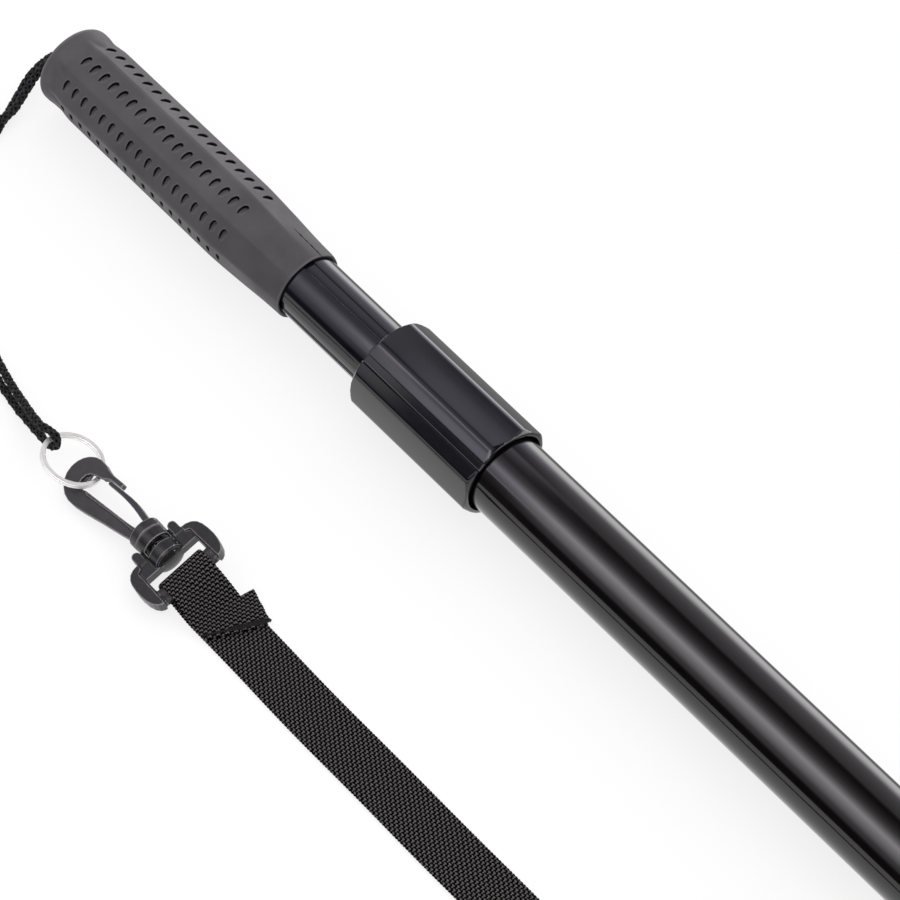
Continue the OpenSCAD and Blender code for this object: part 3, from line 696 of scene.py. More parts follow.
def build_grip():
    stations = grip_stations()
    angles = around(FACE_ANGLE, GRIP_FACES, GRIP_SECTOR)
    rows = [[(x, grip_outer(x, a)) for a in angles] for x in stations]
    # rolled mouth: the wall turns over into the bore, slightly wavy
    waves = [0.05 * math.sin(3 * a + 1.0) + 0.03 * math.sin(7 * a) for a in angles]
    for x, radius in ((GRIP_LEN + 0.05, 13.45), (GRIP_LEN - 0.1, 12.85)):
        rows.append([(x, radius + wave) for wave in waves])
    rows += [[point] * len(angles) for point in GRIP_INSIDE]
    obj = turned("grip_body", rows, angles, RUBBER, sharp=52)
    marks = [grip_shade(x, a) for x in stations for a in angles]
    marks += [(0.0, 0.0)] * ((len(rows) - len(stations)) * len(angles))
    # painted shade of the hollows and parting line, then the lips with their painted highlights
    add_attr(obj, "painted_shade", [shade for shade, _ in marks])
    add_attr(obj, "lip", [lip for _, lip in marks])
    place(obj, "handle", "rubber_grip")


build_grip()

# --------------------------------------------------------------------------
# tubes
# --------------------------------------------------------------------------

INNER_RADIUS, INNER_BORE, INNER_END = 12.5, 11.3, 545.0
INNER_GROOVES, INNER_GROOVE_ANGLE = 4, math.radians(4)
OUTER_RADIUS, OUTER_BORE = 15.0, 13.8
OUTER_START, OUTER_END = 212.0, 632.0
OUTER_RIM_STEPS = [0, 0.1, 0.25, 0.5]


def rim_drop(edge, width):
    """How far the skin drops within width of an end; edge is the distance to the end."""
    return 0.3 * (1 - edge / width) ** 2 if edge < width else 0.0


def inner_skin(x, angle):
    across = abs(fold(angle, INNER_GROOVE_ANGLE, INNER_GROOVES)) * INNER_RADIUS
    radius = INNER_RADIUS - 0.5 * (1 - smoothstep(1.95, 2.25, across))
    # a small raised line on each side of a groove
    radius += 0.05 * bell(across - 2.75, 0.28)
    # chamfer at the butt end
    if x < 4:
        radius -= 0.2 * (4 - x)
    return radius


def outer_skin(x, angle):
    return OUTER_RADIUS - rim_drop(min(x - OUTER_START, OUTER_END - x), 0.5)


def build_inner_tube():
    stations = ([3.2, 3.4, 3.8, 6] + [10 + 15 * k for k in range(35)]
                + [540, 544.4, 544.8, INNER_END])
    half = [-45 + k * 3.0 for k in range(10)]
    half += [-15.5, -14.5, -13.5, -12.6, -11.8, -11.2, -10.8, -10.4, -10, -9.6, -9.2, -8.7,
             -8, -6, -4, -2, 0]
    angles = around(INNER_GROOVE_ANGLE, INNER_GROOVES, mirrored(half))
    obj = lathe("handle_tube_skin", stations, angles, inner_skin, lambda x: INNER_BORE,
                INNER_BLACK, sharp=35)
    place(obj, "handle", "handle_tube")


def build_outer_tube():
    stations = ([OUTER_START + step for step in OUTER_RIM_STEPS] + [OUTER_START + 2]
                + [OUTER_START + 8 + 12 * k for k in range(34)] + [OUTER_END - 4]
                + [OUTER_END - step for step in reversed(OUTER_RIM_STEPS)])
    angles = [math.radians(k * 1.5) for k in range(240)]
    obj = lathe("main_tube_skin", stations, angles, outer_skin, lambda x: OUTER_BORE,
                OUTER_BLACK, sharp=35)
    place(obj, "outer_pole", "main_tube")


build_inner_tube()
build_outer_tube()

# --------------------------------------------------------------------------
# twist collar: eight crowned faces, one with a groove along it
# --------------------------------------------------------------------------

COLLAR_START, COLLAR_END = 177.0, 237.6
COLLAR_FACES, COLLAR_FACE_ANGLE = 8, math.radians(7.7)
COLLAR_FLAT, COLLAR_RIDGE = 17.5, 18.5
COLLAR_GROOVE_ANGLE = math.radians(-37.3)
COLLAR_GROOVE_RADIUS = 17.6         # turns angles into widths at the groove
COLLAR_CHAMFER = 1.3
COLLAR_RIM_STEPS = [0, 0.08, 0.18, 0.35, 0.7, 1.0]
# x, radius
COLLAR_BORE = [
    (176.9, 12.85), (177.6, 12.8), (178.59, 12.8), (178.6, 14.25), (180.4, 14.25),
    (180.41, 12.8), (181.6, 12.8), (190.3, 15.3), (192.2, 15.45), (234.8, 15.45),
    (236.2, 15.55), (237.6, 16.25), (238, 16.3)]
COLLAR_MIDDLE_STATIONS = [178.6, 178.61, 180.4, 180.41, 181.6, 184, 190.3, 192.2, 200, 210,
                          220, 230, 234.8, 236.0, 236.3]
# degrees across half a face
COLLAR_HALF_SECTOR = [
    -22.5, -21.8, -21.0, -20.0, -18.5, -16, -13, -10, -7.5, -6.9, -6.5, -6.1, -5.8, -5.5, -5.2,
    -4.9, -4.4, -3, -1.5, 0]


def collar_skin(x, angle):
    from_face = fold(angle, COLLAR_FACE_ANGLE, COLLAR_FACES)
    # crowned faces: between a flat and a circle
    flat = COLLAR_FLAT + (COLLAR_FLAT / math.cos(from_face) - COLLAR_FLAT) * 0.86 + 0.05
    radius = soft_min(flat, COLLAR_RIDGE, soft=0.05)
    across = abs(fold(angle, COLLAR_GROOVE_ANGLE, 1)) * COLLAR_GROOVE_RADIUS
    radius -= 0.95 * (1 - smoothstep(1.55, 1.95, across))
    edge = min(x - COLLAR_START, COLLAR_END - x)
    if edge < COLLAR_CHAMFER:
        part = 1 - edge / COLLAR_CHAMFER
        radius = min(radius, 18.55 - 1.0 * part - 0.3 * part * part)
    return radius - rim_drop(edge, 0.35)


def build_collar():
    # a start step and a bore station can share one place, so repeats are dropped
    stations = sorted(set([COLLAR_START + step for step in COLLAR_RIM_STEPS + [1.3, 1.6]]
                          + COLLAR_MIDDLE_STATIONS
                          + [COLLAR_END - step for step in COLLAR_RIM_STEPS]))
    angles = around(COLLAR_FACE_ANGLE, COLLAR_FACES, mirrored(COLLAR_HALF_SECTOR))
    obj = lathe("lock_collar_skin", stations, angles, collar_skin,
                lambda x: interp(COLLAR_BORE, x), COLLAR_BLACK, sharp=28)
    place(obj, "twist_collar", "lock_collar")


build_collar()

# --------------------------------------------------------------------------
# plastic mouldings: the CAD solid remeshed and softened, so edges carry a moulded radius
# --------------------------------------------------------------------------

# CAD piece, voxel size, smoothing passes, body it rides, material
MOULDINGS = (
    ("hook_head", 0.7, 6, "outer_pole", NYLON),
    ("snap_hook", 0.2, 6, "near_snap", NYLON_HOOK),
    ("snap_gate", 0.16, 4, "near_gate", NYLON),
    ("strap_frame", 0.2, 5, "strap", NYLON_FRAME),
    ("far_snap_hook", 0.22, 6, "far_snap", NYLON_HOOK),
    ("far_snap_gate", 0.16, 4, "far_gate", NYLON),
    ("far_strap_frame", 0.22, 5, "strap", NYLON_FRAME),
)


def build_moulding(piece, voxel, passes, body, mat):
    name = piece + "_moulding"
    draft = bpy.data.objects.new(name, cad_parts[piece].data.copy())
    bpy.context.scene.collection.objects.link(draft)
    weld = draft.modifiers.new("weld", "WELD")
    weld.merge_threshold = 0.01 * MM
    remesh = draft.modifiers.new("remesh", "REMESH")
    remesh.mode = "VOXEL"
    remesh.voxel_size = voxel * MM
    remesh.use_smooth_shade = True
    soften = draft.modifiers.new("soften", "SMOOTH")
    soften.factor = 0.5
    soften.iterations = passes
    depsgraph = bpy.context.evaluated_depsgraph_get()
    mesh = bpy.data.meshes.new_from_object(draft.evaluated_get(depsgraph))
    mesh.name = name + "_mesh"
    bpy.data.objects.remove(draft)
    obj = bpy.data.objects.new(name, mesh)
    bpy.context.scene.collection.objects.link(obj)
    mesh.materials.clear()
    mesh.materials.append(mat)
    mesh.polygons.foreach_set("use_smooth", [True] * len(mesh.polygons))
    place(obj, body, piece)


for moulding in MOULDINGS:
    build_moulding(*moulding)

# --------------------------------------------------------------------------
# split ring: two turns of flattened spring wire
# --------------------------------------------------------------------------

RING_POSE = (Matrix.Translation((130.8, -103.1, -11.5))
             @ Matrix.Rotation(math.radians(9.95), 4, "Y")
             @ Matrix.Rotation(math.radians(-20.8), 4, "X"))
RING_RADIUS = 10.9
RING_TURNS = 2
RING_START = math.radians(62)
RING_STEPS, RING_SIDES = 300, 14
WIRE_HALF_WIDTH, WIRE_HALF_HEIGHT = 0.92, 0.46


def ring_point(i):
    angle = 2 * math.pi * RING_TURNS * i / RING_STEPS * 0.985 + RING_START
    # the wire steps up from the lower turn to the upper one
    z = -0.5 + 1.0 * smoothstep(0.93, 1.07, (i / RING_STEPS) * RING_TURNS)
    radius = RING_RADIUS + 0.05 * math.sin(angle * 2)
    return Vector((radius * math.cos(angle), radius * math.sin(angle), z))


def build_ring():
    points = [ring_point(i) for i in range(RING_STEPS + 1)]
    verts = []
    for i, point in enumerate(points):
        tangent = (points[min(i + 1, RING_STEPS)] - points[max(i - 1, 0)]).normalized()
        radial = Vector((point.x, point.y, 0)).normalized()
        rise = tangent.cross(radial).normalized()
        taper = min(1.0, 0.35 + 0.65 * min(i, RING_STEPS - i) / 3)
        for j in range(RING_SIDES):
            turn = 2 * math.pi * j / RING_SIDES
            cosine, sine = math.cos(turn), math.sin(turn)
            # a section between an ellipse and a rectangle
            square = (abs(cosine) ** 3 + abs(sine) ** 3) ** (-1 / 3)
            offset = (radial * (WIRE_HALF_WIDTH * taper * cosine * square)
                      + rise * (WIRE_HALF_HEIGHT * taper * sine * square))
            verts.append(RING_POSE @ (point + offset) * MM)
    faces = tube_faces(0, len(points), RING_SIDES)
    obj = mesh_obj("split_ring_coil", verts, faces, NICKEL, sharp=60)
    place(obj, "ring", "split_ring")


build_ring()

# --------------------------------------------------------------------------
# braided cord: out of the butt, round the split ring and back
# --------------------------------------------------------------------------

# x, y, z of the cord's middle
CORD_PATH = [
    (13, 1.8, 0.2), (6, 1.75, 0.1), (0, 1.7, 0), (-7, 1.2, -1.6), (-13, -2.5, -8),
    (-15.4, -9, -14.2), (-13.2, -16, -16.7), (-9.8, -22.5, -16.7), (-4.7, -32.5, -16.7),
    (3, -47, -16.7), (17, -65, -16.7), (38, -80.5, -16.7), (58, -89, -16.7),
    (75, -94.6, -16.4), (89.57, -98.73, -14.1), (99.44, -100.99, -11.9),
    (108.62, -103.07, -9.2), (114.86, -104, -7.4), (118.1, -103.4, -6.6),
    (120.26, -103.2, -6.54), (121.75, -103.12, -7.07), (122.76, -103.37, -8.25),
    (122.99, -103.85, -9.73), (122.37, -104.43, -11.06), (121.09, -104.93, -11.83),
    (118.3, -105.1, -12.3), (114.54, -104.59, -13.3), (109.79, -103.88, -14.9),
    (104.06, -103.08, -16.1), (96.07, -102.25, -16.65), (74, -98.3, -16.7),
    (55, -92.9, -16.7), (35, -84.8, -16.7), (13.5, -68.6, -16.7), (-1.4, -49.4, -16.65),
    (-6.6, -41, -13.6), (-5.5, -32, -13.1), (-5.8, -24.5, -13.4), (-9.2, -15.5, -12),
    (-10.4, -7.5, -7.6), (-7, -2.2, -2.2), (0, -1.7, 0), (6, -1.75, 0.1), (13, -1.8, 0.2)]
STRANDS = 4                         # in each winding direction
STRAND_PITCH = 10.5
STRAND_RADIUS, STRAND_SIDES = 0.54, 6
BRAID_RADIUS, BRAID_SWING = 0.98, 0.2
CORE_RADIUS = 0.9


def strand_path(spine, length, way, strand):
    """One strand wound round the spine, over one and under one of the other way's strands."""
    start, swing_start = (0.0, 0) if way > 0 else (math.pi / STRANDS, math.pi)
    path = []
    for i, (point, _, side, other) in enumerate(spine):
        along = i * length / (len(spine) - 1)
        angle = (way * 2 * math.pi * along / STRAND_PITCH
                 + 2 * math.pi * strand / STRANDS + start)
        swing = math.sin(2 * math.pi * along / STRAND_PITCH * STRANDS
                         + swing_start + strand * math.pi)
        radius = BRAID_RADIUS + BRAID_SWING * swing
        path.append(point + side * (radius * math.cos(angle)) + other * (radius * math.sin(angle)))
    return path


def build_cord():
    points, length = resample(catmull([Vector(p) for p in CORD_PATH], steps=8), step=0.4)
    spine = frames_along(points)
    verts, faces, crown = [], [], []
    for way in (1, -1):
        for strand in range(STRANDS):
            start = len(verts)
            path = strand_path(spine, length, way, strand)
            tube_along(path, STRAND_RADIUS, STRAND_SIDES, verts, faces)
            # how far each point of the strand stands out from the middle of the cord
            for i, (point, tangent, _, _) in enumerate(spine):
                for j in range(STRAND_SIDES):
                    offset = verts[start + i * STRAND_SIDES + j] - point
                    out = (offset - tangent * offset.dot(tangent)).length
                    crown.append(min(1.0, max(0.0, (out - 0.85) / 0.8)))
    # core, so that no daylight shows between the strands
    tube_along(points, CORE_RADIUS, 6, verts, faces)
    # stopper knot inside the grip: three wavy loops about X
    knot_start, knot_pitch, knot_loop_radius, knot_cord_radius = 10.1, 1.5, 3.5, 1.55
    for k in range(3):
        loop = []
        for i in range(41):
            angle = 2 * math.pi * i / 40
            loop.append(Vector((knot_start + knot_pitch * k + 0.8 * math.sin(2 * angle),
                                knot_loop_radius * math.cos(angle),
                                knot_loop_radius * math.sin(angle))))
        tube_along(loop, knot_cord_radius, 10, verts, faces, caps=False)
    # the core and the stopper knot get the dark colour of the painted shade deep in the braid
    crown += [0.2] * (len(verts) - len(crown))
    obj = mesh_obj("lanyard_braid", [v * MM for v in verts], faces, BRAID)
    add_attr(obj, "crown", crown)
    place(obj, "handle", "lanyard_cord")


build_cord()

# --------------------------------------------------------------------------
# webbing strap: along X, wrapped round the bar of a frame at each end, tails sewn on top
# --------------------------------------------------------------------------

STRAP_Y = -102.8
WEB_THICK, WEB_HALF_WIDTH = 1.1, 10.0
WEB_Z = FLOOR_Z + WEB_THICK / 2 + 0.15          # middle of the strap on the floor
TAIL_Z = WEB_Z + WEB_THICK + 0.14               # middle of the tails above it
BAR_REACH = 21                                  # from a snap's reference point to the bar
BAR_PITCH = math.radians(3)
BAR_ROLL = math.radians(20)
LIE = math.radians(14)                          # roll of the web where it leaves a bar
NEAR_SNAP_X, FAR_SNAP_X = 171.5, 610.0
NEAR_BAR_X = NEAR_SNAP_X + BAR_REACH * math.cos(BAR_PITCH)
FAR_BAR_X = FAR_SNAP_X - BAR_REACH * math.cos(BAR_PITCH)
BAR_Z = FLOOR_Z + 6.6 + BAR_REACH * math.sin(BAR_PITCH) * (
    math.cos(BAR_ROLL) + math.sin(BAR_ROLL) * math.tan(LIE))
BEND_RADIUS = 2.9
TAIL = 26.3                                     # from the bar to the middle of the cut
CUT_SLOPE = 0.47                                # both ends are cut on the skew
SKEW = CUT_SLOPE * WEB_HALF_WIDTH
WEB_STEP, WEB_COLUMNS = 0.4, 51
CUT_ROWS = 40                                   # rows that close up to the skewed cut


def upper_z(away):
    """Height of the tail, at a distance from its bar."""
    return BAR_Z + BEND_RADIUS + (TAIL_Z - BAR_Z - BEND_RADIUS) * smoothstep(4, 18, away)


def lower_z(away):
    """Height of the strap under the tail."""
    return BAR_Z - BEND_RADIUS + (WEB_Z - BAR_Z + BEND_RADIUS) * smoothstep(2, 16, away)


def web_roll(x):
    return LIE * ((1 - smoothstep(3, 16, x - NEAR_BAR_X)) - smoothstep(-16, -3, x - FAR_BAR_X))


def web_pinch(x):
    """How much narrower the web is beside the bars."""
    return 0.9 * (1 - smoothstep(5, 16, x - NEAR_BAR_X) + smoothstep(-16, -5, x - FAR_BAR_X))


def bar_bend(bar_x, start):
    """Half a turn round a bar, from start in degrees."""
    angles = [math.radians(start + 180 * i / 24) for i in range(25)]
    return [(bar_x + BEND_RADIUS * math.cos(a), BAR_Z + BEND_RADIUS * math.sin(a))
            for a in angles]


def strap_path():
    """From the near tail's end, round both bars, to the far tail's end."""
    end = TAIL + SKEW
    path = [(NEAR_BAR_X + d, upper_z(d)) for d in np.linspace(end, 4, 54)]
    path += bar_bend(NEAR_BAR_X, 80)
    path += [(NEAR_BAR_X + d, lower_z(d)) for d in np.linspace(2, 18, 33)]
    flat_length = FAR_BAR_X - NEAR_BAR_X - 36
    path += [(NEAR_BAR_X + 18 + flat_length * i / 60, WEB_Z) for i in range(1, 60)]
    path += [(FAR_BAR_X - d, lower_z(d)) for d in np.linspace(18, 2, 33)]
    path += bar_bend(FAR_BAR_X, -80)
    path += [(FAR_BAR_X - d, upper_z(d)) for d in np.linspace(4, end, 54)]
    return [Vector((x, STRAP_Y, z)) for x, z in path]


def add_ribbon(rows, verts, pairs, faces):
    """A closed slab from rows of (point, normal, half thickness, across, along)."""
    count, columns = len(rows), len(rows[0])
    base = len(verts)
    for side in (1, -1):
        for row in rows:
            for point, normal, half, across, along in row:
                verts.append((point + normal * (half * side)) * MM)
                pairs.append((across, along))
    under = count * columns
    top = []
    for i in range(count - 1):
        for j in range(columns - 1):
            here = base + i * columns + j
            top.append((here, here + 1, here + 1 + columns, here + columns))
    faces += top
    faces += [tuple(v + under for v in reversed(face)) for face in top]
    for i in range(count - 1):
        for j in (0, columns - 1):
            here = base + i * columns + j
            beside = here + columns
            faces.append((here, beside, beside + under, here + under))
    for i in (0, count - 1):
        for j in range(columns - 1):
            here = base + i * columns + j
            faces.append((here, here + 1, here + 1 + under, here + under))


def fray(place_on_edge, seed):
    return (0.16 * math.sin(7.3 * place_on_edge + seed)
            + 0.12 * math.sin(17.1 * place_on_edge + 2 * seed)
            + 0.1 * math.sin(31.7 * place_on_edge + 3 * seed))


def half_thickness(edge):
    """Half thickness of the web: thinner towards its edge, where edge falls from 1 to 0."""
    return WEB_THICK / 2 * (0.5 + 0.5 * math.sqrt(max(edge, 0)))


def bow(along):
    """Sideways wander of the strap."""
    return smoothstep(30, 60, along) * (0.22 * math.sin(along / 27.0)
                                        + 0.12 * math.sin(along / 11.0 + 1.0))


def lift(along, across, length):
    """Long, shallow waves of a strap that was folded before."""
    strength = smoothstep(62, 90, along) * (1 - smoothstep(length - 90, length - 62, along))
    return strength * 0.1 * (math.sin(along / 9.0 + across * 0.8) * 0.6
                             + 0.8 * math.sin(along / 23.0) + 0.4)


def strap_rows():
    points, length = resample(strap_path(), WEB_STEP)
    count = len(points)
    step = length / (count - 1)

    def path_at(along):
        """Point and tangent of the path."""
        position = min(max(along / step, 0.0), count - 1.001)
        i = int(position)
        part = position - i
        point = points[i] * (1 - part) + points[i + 1] * part
        tangent = points[min(i + 2, count - 1)] - points[max(i - 1, 0)]
        return point, tangent.normalized()

    def web_point(i, j):
        side = j / (WEB_COLUMNS - 1) * 2 - 1
        across = WEB_HALF_WIDTH * math.copysign(abs(side) ** 0.93, side)
        along = i * step
        # the rows close up only at the cuts
        near_cut = SKEW - CUT_SLOPE * across + 0.5 * fray(across, 1.0)
        far_cut = length - (SKEW + CUT_SLOPE * across) + 0.5 * fray(across, 4.0)
        if i < CUT_ROWS:
            along = near_cut + (CUT_ROWS * step - near_cut) * i / CUT_ROWS
        elif i > count - 1 - CUT_ROWS:
            part = (count - 1 - i) / CUT_ROWS
            along = far_cut + (length - CUT_ROWS * step - far_cut) * part
        point, tangent = path_at(along)
        roll = web_roll(point.x)
        pinched = across - (web_pinch(point.x) * (across + WEB_HALF_WIDTH) / WEB_HALF_WIDTH)
        sideways = Vector((0, math.cos(roll), math.sin(roll)))
        normal = tangent.cross(sideways).normalized()
        edge = min(1.0, (1 - abs(side)) * 10)
        weave = 0.05 * (weave_height(across, along) - 0.5) * edge
        half = half_thickness(edge) + weave - 0.03
        # small loops of the weft along both edges
        rib = 0.0
        if abs(side) > 0.9:
            rib = 0.13 * math.sin(2 * math.pi * along * 0.765) * (1 if side > 0 else -1)
        point = (point + sideways * (pinched + bow(along) + rib)
                 + normal * lift(along, side, length))
        return point, normal, half, across, along

    return [[web_point(i, j) for j in range(WEB_COLUMNS)] for i in range(count)]


def corner_rows():
    """The corner of the sewn end that stands out beside the strap, on its +Y side."""
    count, columns = 36, 18
    inner_y = -94.2
    rows = []
    for i in range(count):
        part = i / (count - 1)
        inner_x = 208.5 + 14.2 * part
        outer_x = 209.1 + 12.4 * part
        outer_y = -87.5 - 3.4 * part + 0.8 * fray(part * 12, 2.0)
        row = []
        for j in range(columns):
            out = j / (columns - 1)
            x = inner_x + (outer_x - inner_x) * out
            if i < 2:
                x += 0.5 * fray(out * 6, 3.0) * out
            if i > count - 3:
                x += 0.35 * fray(out * 6, 5.0)
            y = inner_y + (outer_y - inner_y) * out
            away = x - NEAR_BAR_X
            z = upper_z(away) + 0.015 - 0.35 * out * out * (0.4 + 0.6 * part)
            slope = (upper_z(away + 0.2) - upper_z(away - 0.2)) / 0.4
            normal = Vector((-slope, 0, 1)).normalized()
            edge = min(1.0, (1 - out) * 7, part * 9, (1 - part) * 9)
            row.append((Vector((x, y, z)), normal, half_thickness(edge) - 0.02,
                        y - STRAP_Y, TAIL + SKEW - away))
        rows.append(row)
    return rows


def build_strap():
    verts, pairs, faces = [], [], []
    add_ribbon(strap_rows(), verts, pairs, faces)
    add_ribbon(corner_rows(), verts, pairs, faces)
    obj = mesh_obj("strap_web", verts, faces, WEBBING, sharp=75)
    add_uv(obj, pairs)
    place(obj, "strap", "strap_webbing")


STITCH_PITCH, STITCH_INSET = 0.42, 1.7
STITCH_SINK, STITCH_ARCH = 0.12, 0.3
THREAD_RADIUS = 0.19


def build_stitches(name, node, bar_x, sense, first, last):
    """A dense zigzag bar of thread that runs along the skewed cut, first to last across the
    strap. sense: +1 where the tail points to +X, -1 to -X."""
    verts, faces = [], []
    draw = random.Random(3)

    def surface_z(x):
        return upper_z(sense * (x - bar_x)) + WEB_THICK / 2 - STITCH_SINK

    for row in range(2):
        count = int((last - first) / STITCH_PITCH)
        points = []
        for i in range(count + 1):
            across = first + (last - first) * i / count
            side = 1 if (i + row) % 2 else -1
            width = ((1.15 + 0.35 * math.sin(across * 0.9))
                     * (0.35 + 0.65 * smoothstep(-3.0, 3.0, across)))
            x = bar_x + sense * TAIL + CUT_SLOPE * across - sense * STITCH_INSET
            x += side * width + draw.uniform(-0.15, 0.15)
            y = STRAP_Y + across + draw.uniform(-0.08, 0.08)
            points.append(Vector((x, y, surface_z(x) + draw.uniform(-0.03, 0.03))))
        path = []
        for start, end in zip(points, points[1:]):
            for k in range(6):
                part = k / 6
                point = start * (1 - part) + end * part
                point.z = surface_z(point.x) + STITCH_ARCH * math.sin(math.pi * part)
                path.append(point)
        tube_along(path, THREAD_RADIUS, 6, verts, faces)
    obj = mesh_obj(name, [v * MM for v in verts], faces, THREAD)
    place(obj, "strap", node)


build_strap()
build_stitches("near_stitching", "strap_stitching", NEAR_BAR_X, 1, first=-9.4, last=11.8)
build_stitches("far_stitching", "far_strap_stitching", FAR_BAR_X, -1, first=-9.4, last=9.4)

# --------------------------------------------------------------------------
# floor
# --------------------------------------------------------------------------

GLOW_STRENGTH = 3.5
# share of the way from Y = -0.05 m to Y = 0.2 m, brightness of the floor in reflections; the dip from
# about Y = 0.03 m to 0.07 m is a painted shadow beside the pole, and the rise beyond it painted light
GLOW_STOPS = [(0.0, 1.05), (0.12, 1.05), (0.24, 0.95), (0.32, 0.6), (0.36, 0.34), (0.43, 0.34),
              (0.47, 0.9), (0.52, 1.9), (0.64, 2.7), (1.0, 3.1)]


def floor_mat():
    """Pale floor, mostly evenly bright, with a little real shading; reflections see a painted glow
    instead, with a painted shadow beside the pole and more light on the +Y side.
    """
    mat = Mat("floor_mat", rough=0.9, base=(0.93, 0.93, 0.93))
    mat.set("Base Color", mat.ramp(mat.noise(scale=2.0, detail=2), [
        (0.3, (0.925, 0.925, 0.925)), (0.7, (0.935, 0.935, 0.935))]))
    mat.set("Specular IOR Level", 0.0)
    # painted glow seen only by reflections, set by the distance along Y
    position = mat.node("ShaderNodeNewGeometry").outputs["Position"]
    way = mat.remap(mat.axes(position)[1], from_min=-0.05, from_max=0.2)
    colour = mat.ramp(way, [(stop, (level / GLOW_STRENGTH,) * 3) for stop, level in GLOW_STOPS])
    glow = mat.node("ShaderNodeEmission", {"Color": colour, "Strength": GLOW_STRENGTH})
    even = mat.node("ShaderNodeEmission", {"Strength": 1.0})
    emitted_share = 0.8
    seen = mat.mix_shader(emitted_share, mat.shader.outputs[0], even.outputs[0])
    surface = mat.mix_shader(mat.glossy_ray(), seen, glow.outputs[0])
    mat.feed(mat.tree.nodes["Material Output"].inputs["Surface"], surface)
    return mat.done()


def build_floor():
    edit = bmesh.new()
    bmesh.ops.create_grid(edit, x_segments=2, y_segments=2, size=6.0)
    mesh = bpy.data.meshes.new("floor")
    edit.to_mesh(mesh)
    edit.free()
    floor = bpy.data.objects.new("floor", mesh)
    floor.location = (0.3, 0, (FLOOR_Z - 0.05) * MM)
    mesh.materials.append(floor_mat())
    bpy.context.scene.collection.objects.link(floor)


build_floor()

# --------------------------------------------------------------------------
# world: soft white light, and a studio that only reflections see
# --------------------------------------------------------------------------

STUDIO_STRENGTH = 5.0
# angle about the pole in degrees, brightness as a share of the studio strength
WIDE_STOPS = [
    (-90, 0.004), (-75, 0.003), (-71, 0.012), (-65, 0.1), (-57, 0.14), (-50, 0.3), (-45, 0.42),
    (-38, 0.56), (-31, 0.74), (-25, 0.86), (-20, 0.62), (-14, 0.38), (-6, 0.16), (4, 0.065),
    (14, 0.025), (24, 0.004), (29, 0.02), (34, 0.09), (46, 0.115), (64, 0.15), (76, 0.19),
    (84, 0.42), (90, 0.6)]
# cards beside the table, seen only in a narrow band of directions along X
CARD_STOPS = [
    (-90, 0.02), (-62, 0.014), (-56.5, 0.02), (-55, 0.014), (-49.4, 0.02), (-48.6, 0.42),
    (-46.6, 0.42), (-45.4, 0.24), (-44, 0.2), (-35, 0.3), (-25, 0.5), (-10, 0.16), (10, 0.05),
    (26, 0.16), (33, 0.2), (37, 0.2), (40, 0.16), (42, 0.1), (45, 0.05), (60, 0.1), (80, 0.3),
    (90, 0.5)]
# towards the butt the main light is further off and weaker
BUTT_STOPS = [
    (-90, 0.012), (-77, 0.008), (-73, 0.03), (-66, 0.11), (-56, 0.15), (-46, 0.2), (-36, 0.26),
    (-27, 0.25), (-16, 0.19), (-6, 0.12), (4, 0.09), (14, 0.06), (20, 0.1), (26, 0.14),
    (44, 0.16), (52, 0.06), (58, 0.05), (64, 0.16), (76, 0.2), (84, 0.3), (90, 0.42)]


def build_world():
    world = bpy.data.worlds.new("studio")
    bpy.context.scene.world = world
    world.use_nodes = True
    graph = Graph(world.node_tree)
    graph.tree.nodes.clear()
    direction = graph.axes(graph.node("ShaderNodeTexCoord").outputs["Generated"])
    toward_x, toward_y, toward_z = direction
    angle = graph.remap(graph.math("ARCTAN2", toward_y, toward_z),
                        from_min=-math.pi / 2, from_max=math.pi / 2)

    def studio(stops, tint):
        return graph.ramp(angle, [((degrees + 90) / 180, tuple(level * c for c in tint))
                                  for degrees, level in stops])

    wide = studio(WIDE_STOPS, tint=(1.0, 0.965, 1.02))
    cards = studio(CARD_STOPS, tint=(1.0, 0.97, 1.14))
    butt = studio(BUTT_STOPS, tint=(1.0, 0.98, 1.16))
    card_band = graph.math(
        "MULTIPLY",
        graph.remap(toward_x, from_min=-0.444, from_max=-0.437, to_min=0.0, to_max=1.0),
        graph.remap(toward_x, from_min=-0.407, from_max=-0.399, to_min=1.0, to_max=0.0))
    butt_band = graph.remap(toward_x, from_min=-0.456, from_max=-0.446, to_min=1.0, to_max=0.0)
    colour = graph.mix(card_band, graph.mix(butt_band, wide, butt), cards)
    reflected = graph.node("ShaderNodeBackground", {"Color": colour, "Strength": STUDIO_STRENGTH})
    # the soft light is stronger from the +Y side
    strength = graph.remap(toward_y, from_min=-1.0, from_max=1.0, to_min=0.62, to_max=1.62)
    soft = graph.node("ShaderNodeBackground", {"Color": (1, 1, 1), "Strength": strength})
    surface = graph.mix_shader(graph.glossy_ray(), soft.outputs[0], reflected.outputs[0])
    graph.node("ShaderNodeOutputWorld", {"Surface": surface})


build_world()

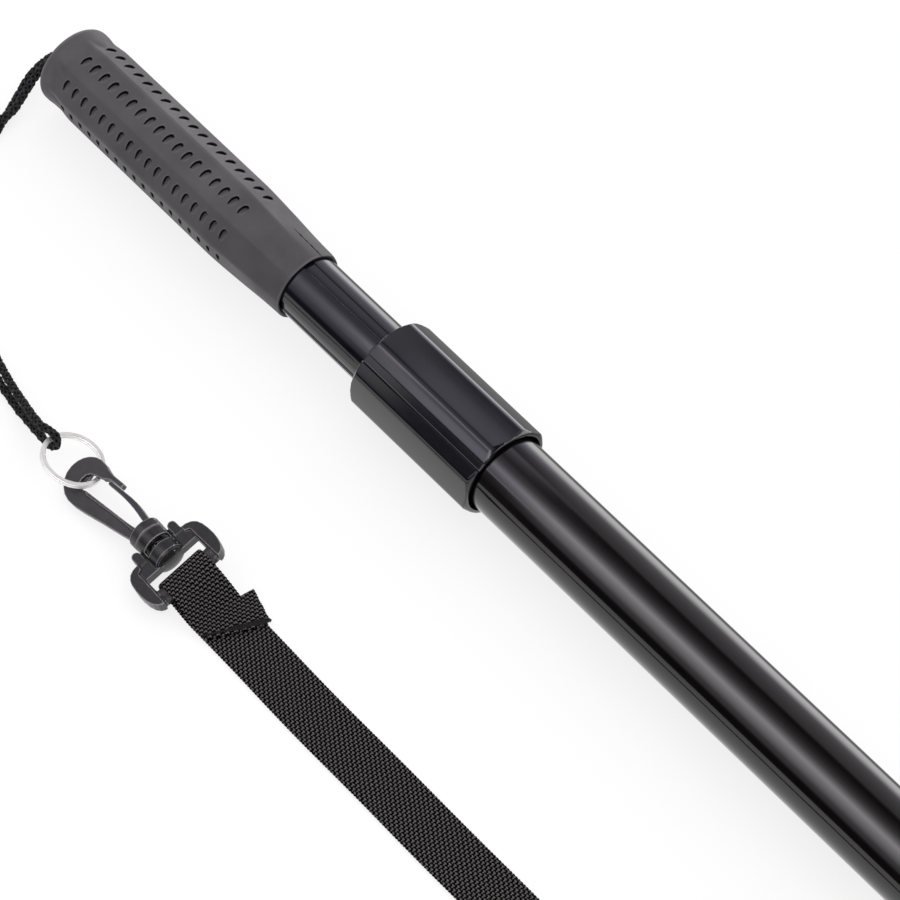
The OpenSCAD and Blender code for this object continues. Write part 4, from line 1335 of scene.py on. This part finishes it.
# --------------------------------------------------------------------------
# light and camera
# --------------------------------------------------------------------------

# metres and watts
KEY_PLACE, KEY_TARGET = Vector((0.1, 0.9, 1.5)), Vector((0.25, -0.04, 0))
KEY_SIZE, KEY_POWER = (1.8, 1.4), 4.5

CAMERA_TARGET = Vector((207.6, 0, 0))
CAMERA_DISTANCE = 1400.0
CAMERA_AZIMUTH = math.radians(49.06)            # from -Y towards +X
CAMERA_ELEVATION = math.radians(56.0)
CAMERA_SHIFT_RIGHT, CAMERA_SHIFT_DOWN = 1.211736, 10.80978
SENSOR_WIDTH, FOCAL_LENGTH = 36.0, 163.6


def build_key():
    light = bpy.data.lights.new("key", "AREA")
    light.shape = "RECTANGLE"
    light.size, light.size_y = KEY_SIZE
    light.energy = KEY_POWER
    key = bpy.data.objects.new("key", light)
    key.location = KEY_PLACE
    key.rotation_euler = (KEY_TARGET - KEY_PLACE).to_track_quat("-Z", "Y").to_euler()
    key.visible_glossy = False
    bpy.context.scene.collection.objects.link(key)


def build_camera():
    back = Vector((math.sin(CAMERA_AZIMUTH) * math.cos(CAMERA_ELEVATION),
                   -math.cos(CAMERA_AZIMUTH) * math.cos(CAMERA_ELEVATION),
                   math.sin(CAMERA_ELEVATION)))
    right = Vector((math.cos(CAMERA_AZIMUTH), math.sin(CAMERA_AZIMUTH), 0))
    up = back.cross(right)
    place_mm = (CAMERA_TARGET + back * CAMERA_DISTANCE
                + right * CAMERA_SHIFT_RIGHT - up * CAMERA_SHIFT_DOWN)
    lens = bpy.data.cameras.new("camera")
    camera = bpy.data.objects.new("camera", lens)
    rows = [(right[i], up[i], back[i], place_mm[i] * MM) for i in range(3)]
    camera.matrix_world = Matrix((*rows, (0, 0, 0, 1)))
    lens.sensor_width = SENSOR_WIDTH
    lens.lens = FOCAL_LENGTH
    lens.clip_start = 0.05
    lens.clip_end = 50
    bpy.context.scene.collection.objects.link(camera)
    bpy.context.scene.camera = camera


build_key()
build_camera()
bpy.context.scene.view_settings.view_transform = "Standard"
bpy.context.scene.view_settings.look = "None"
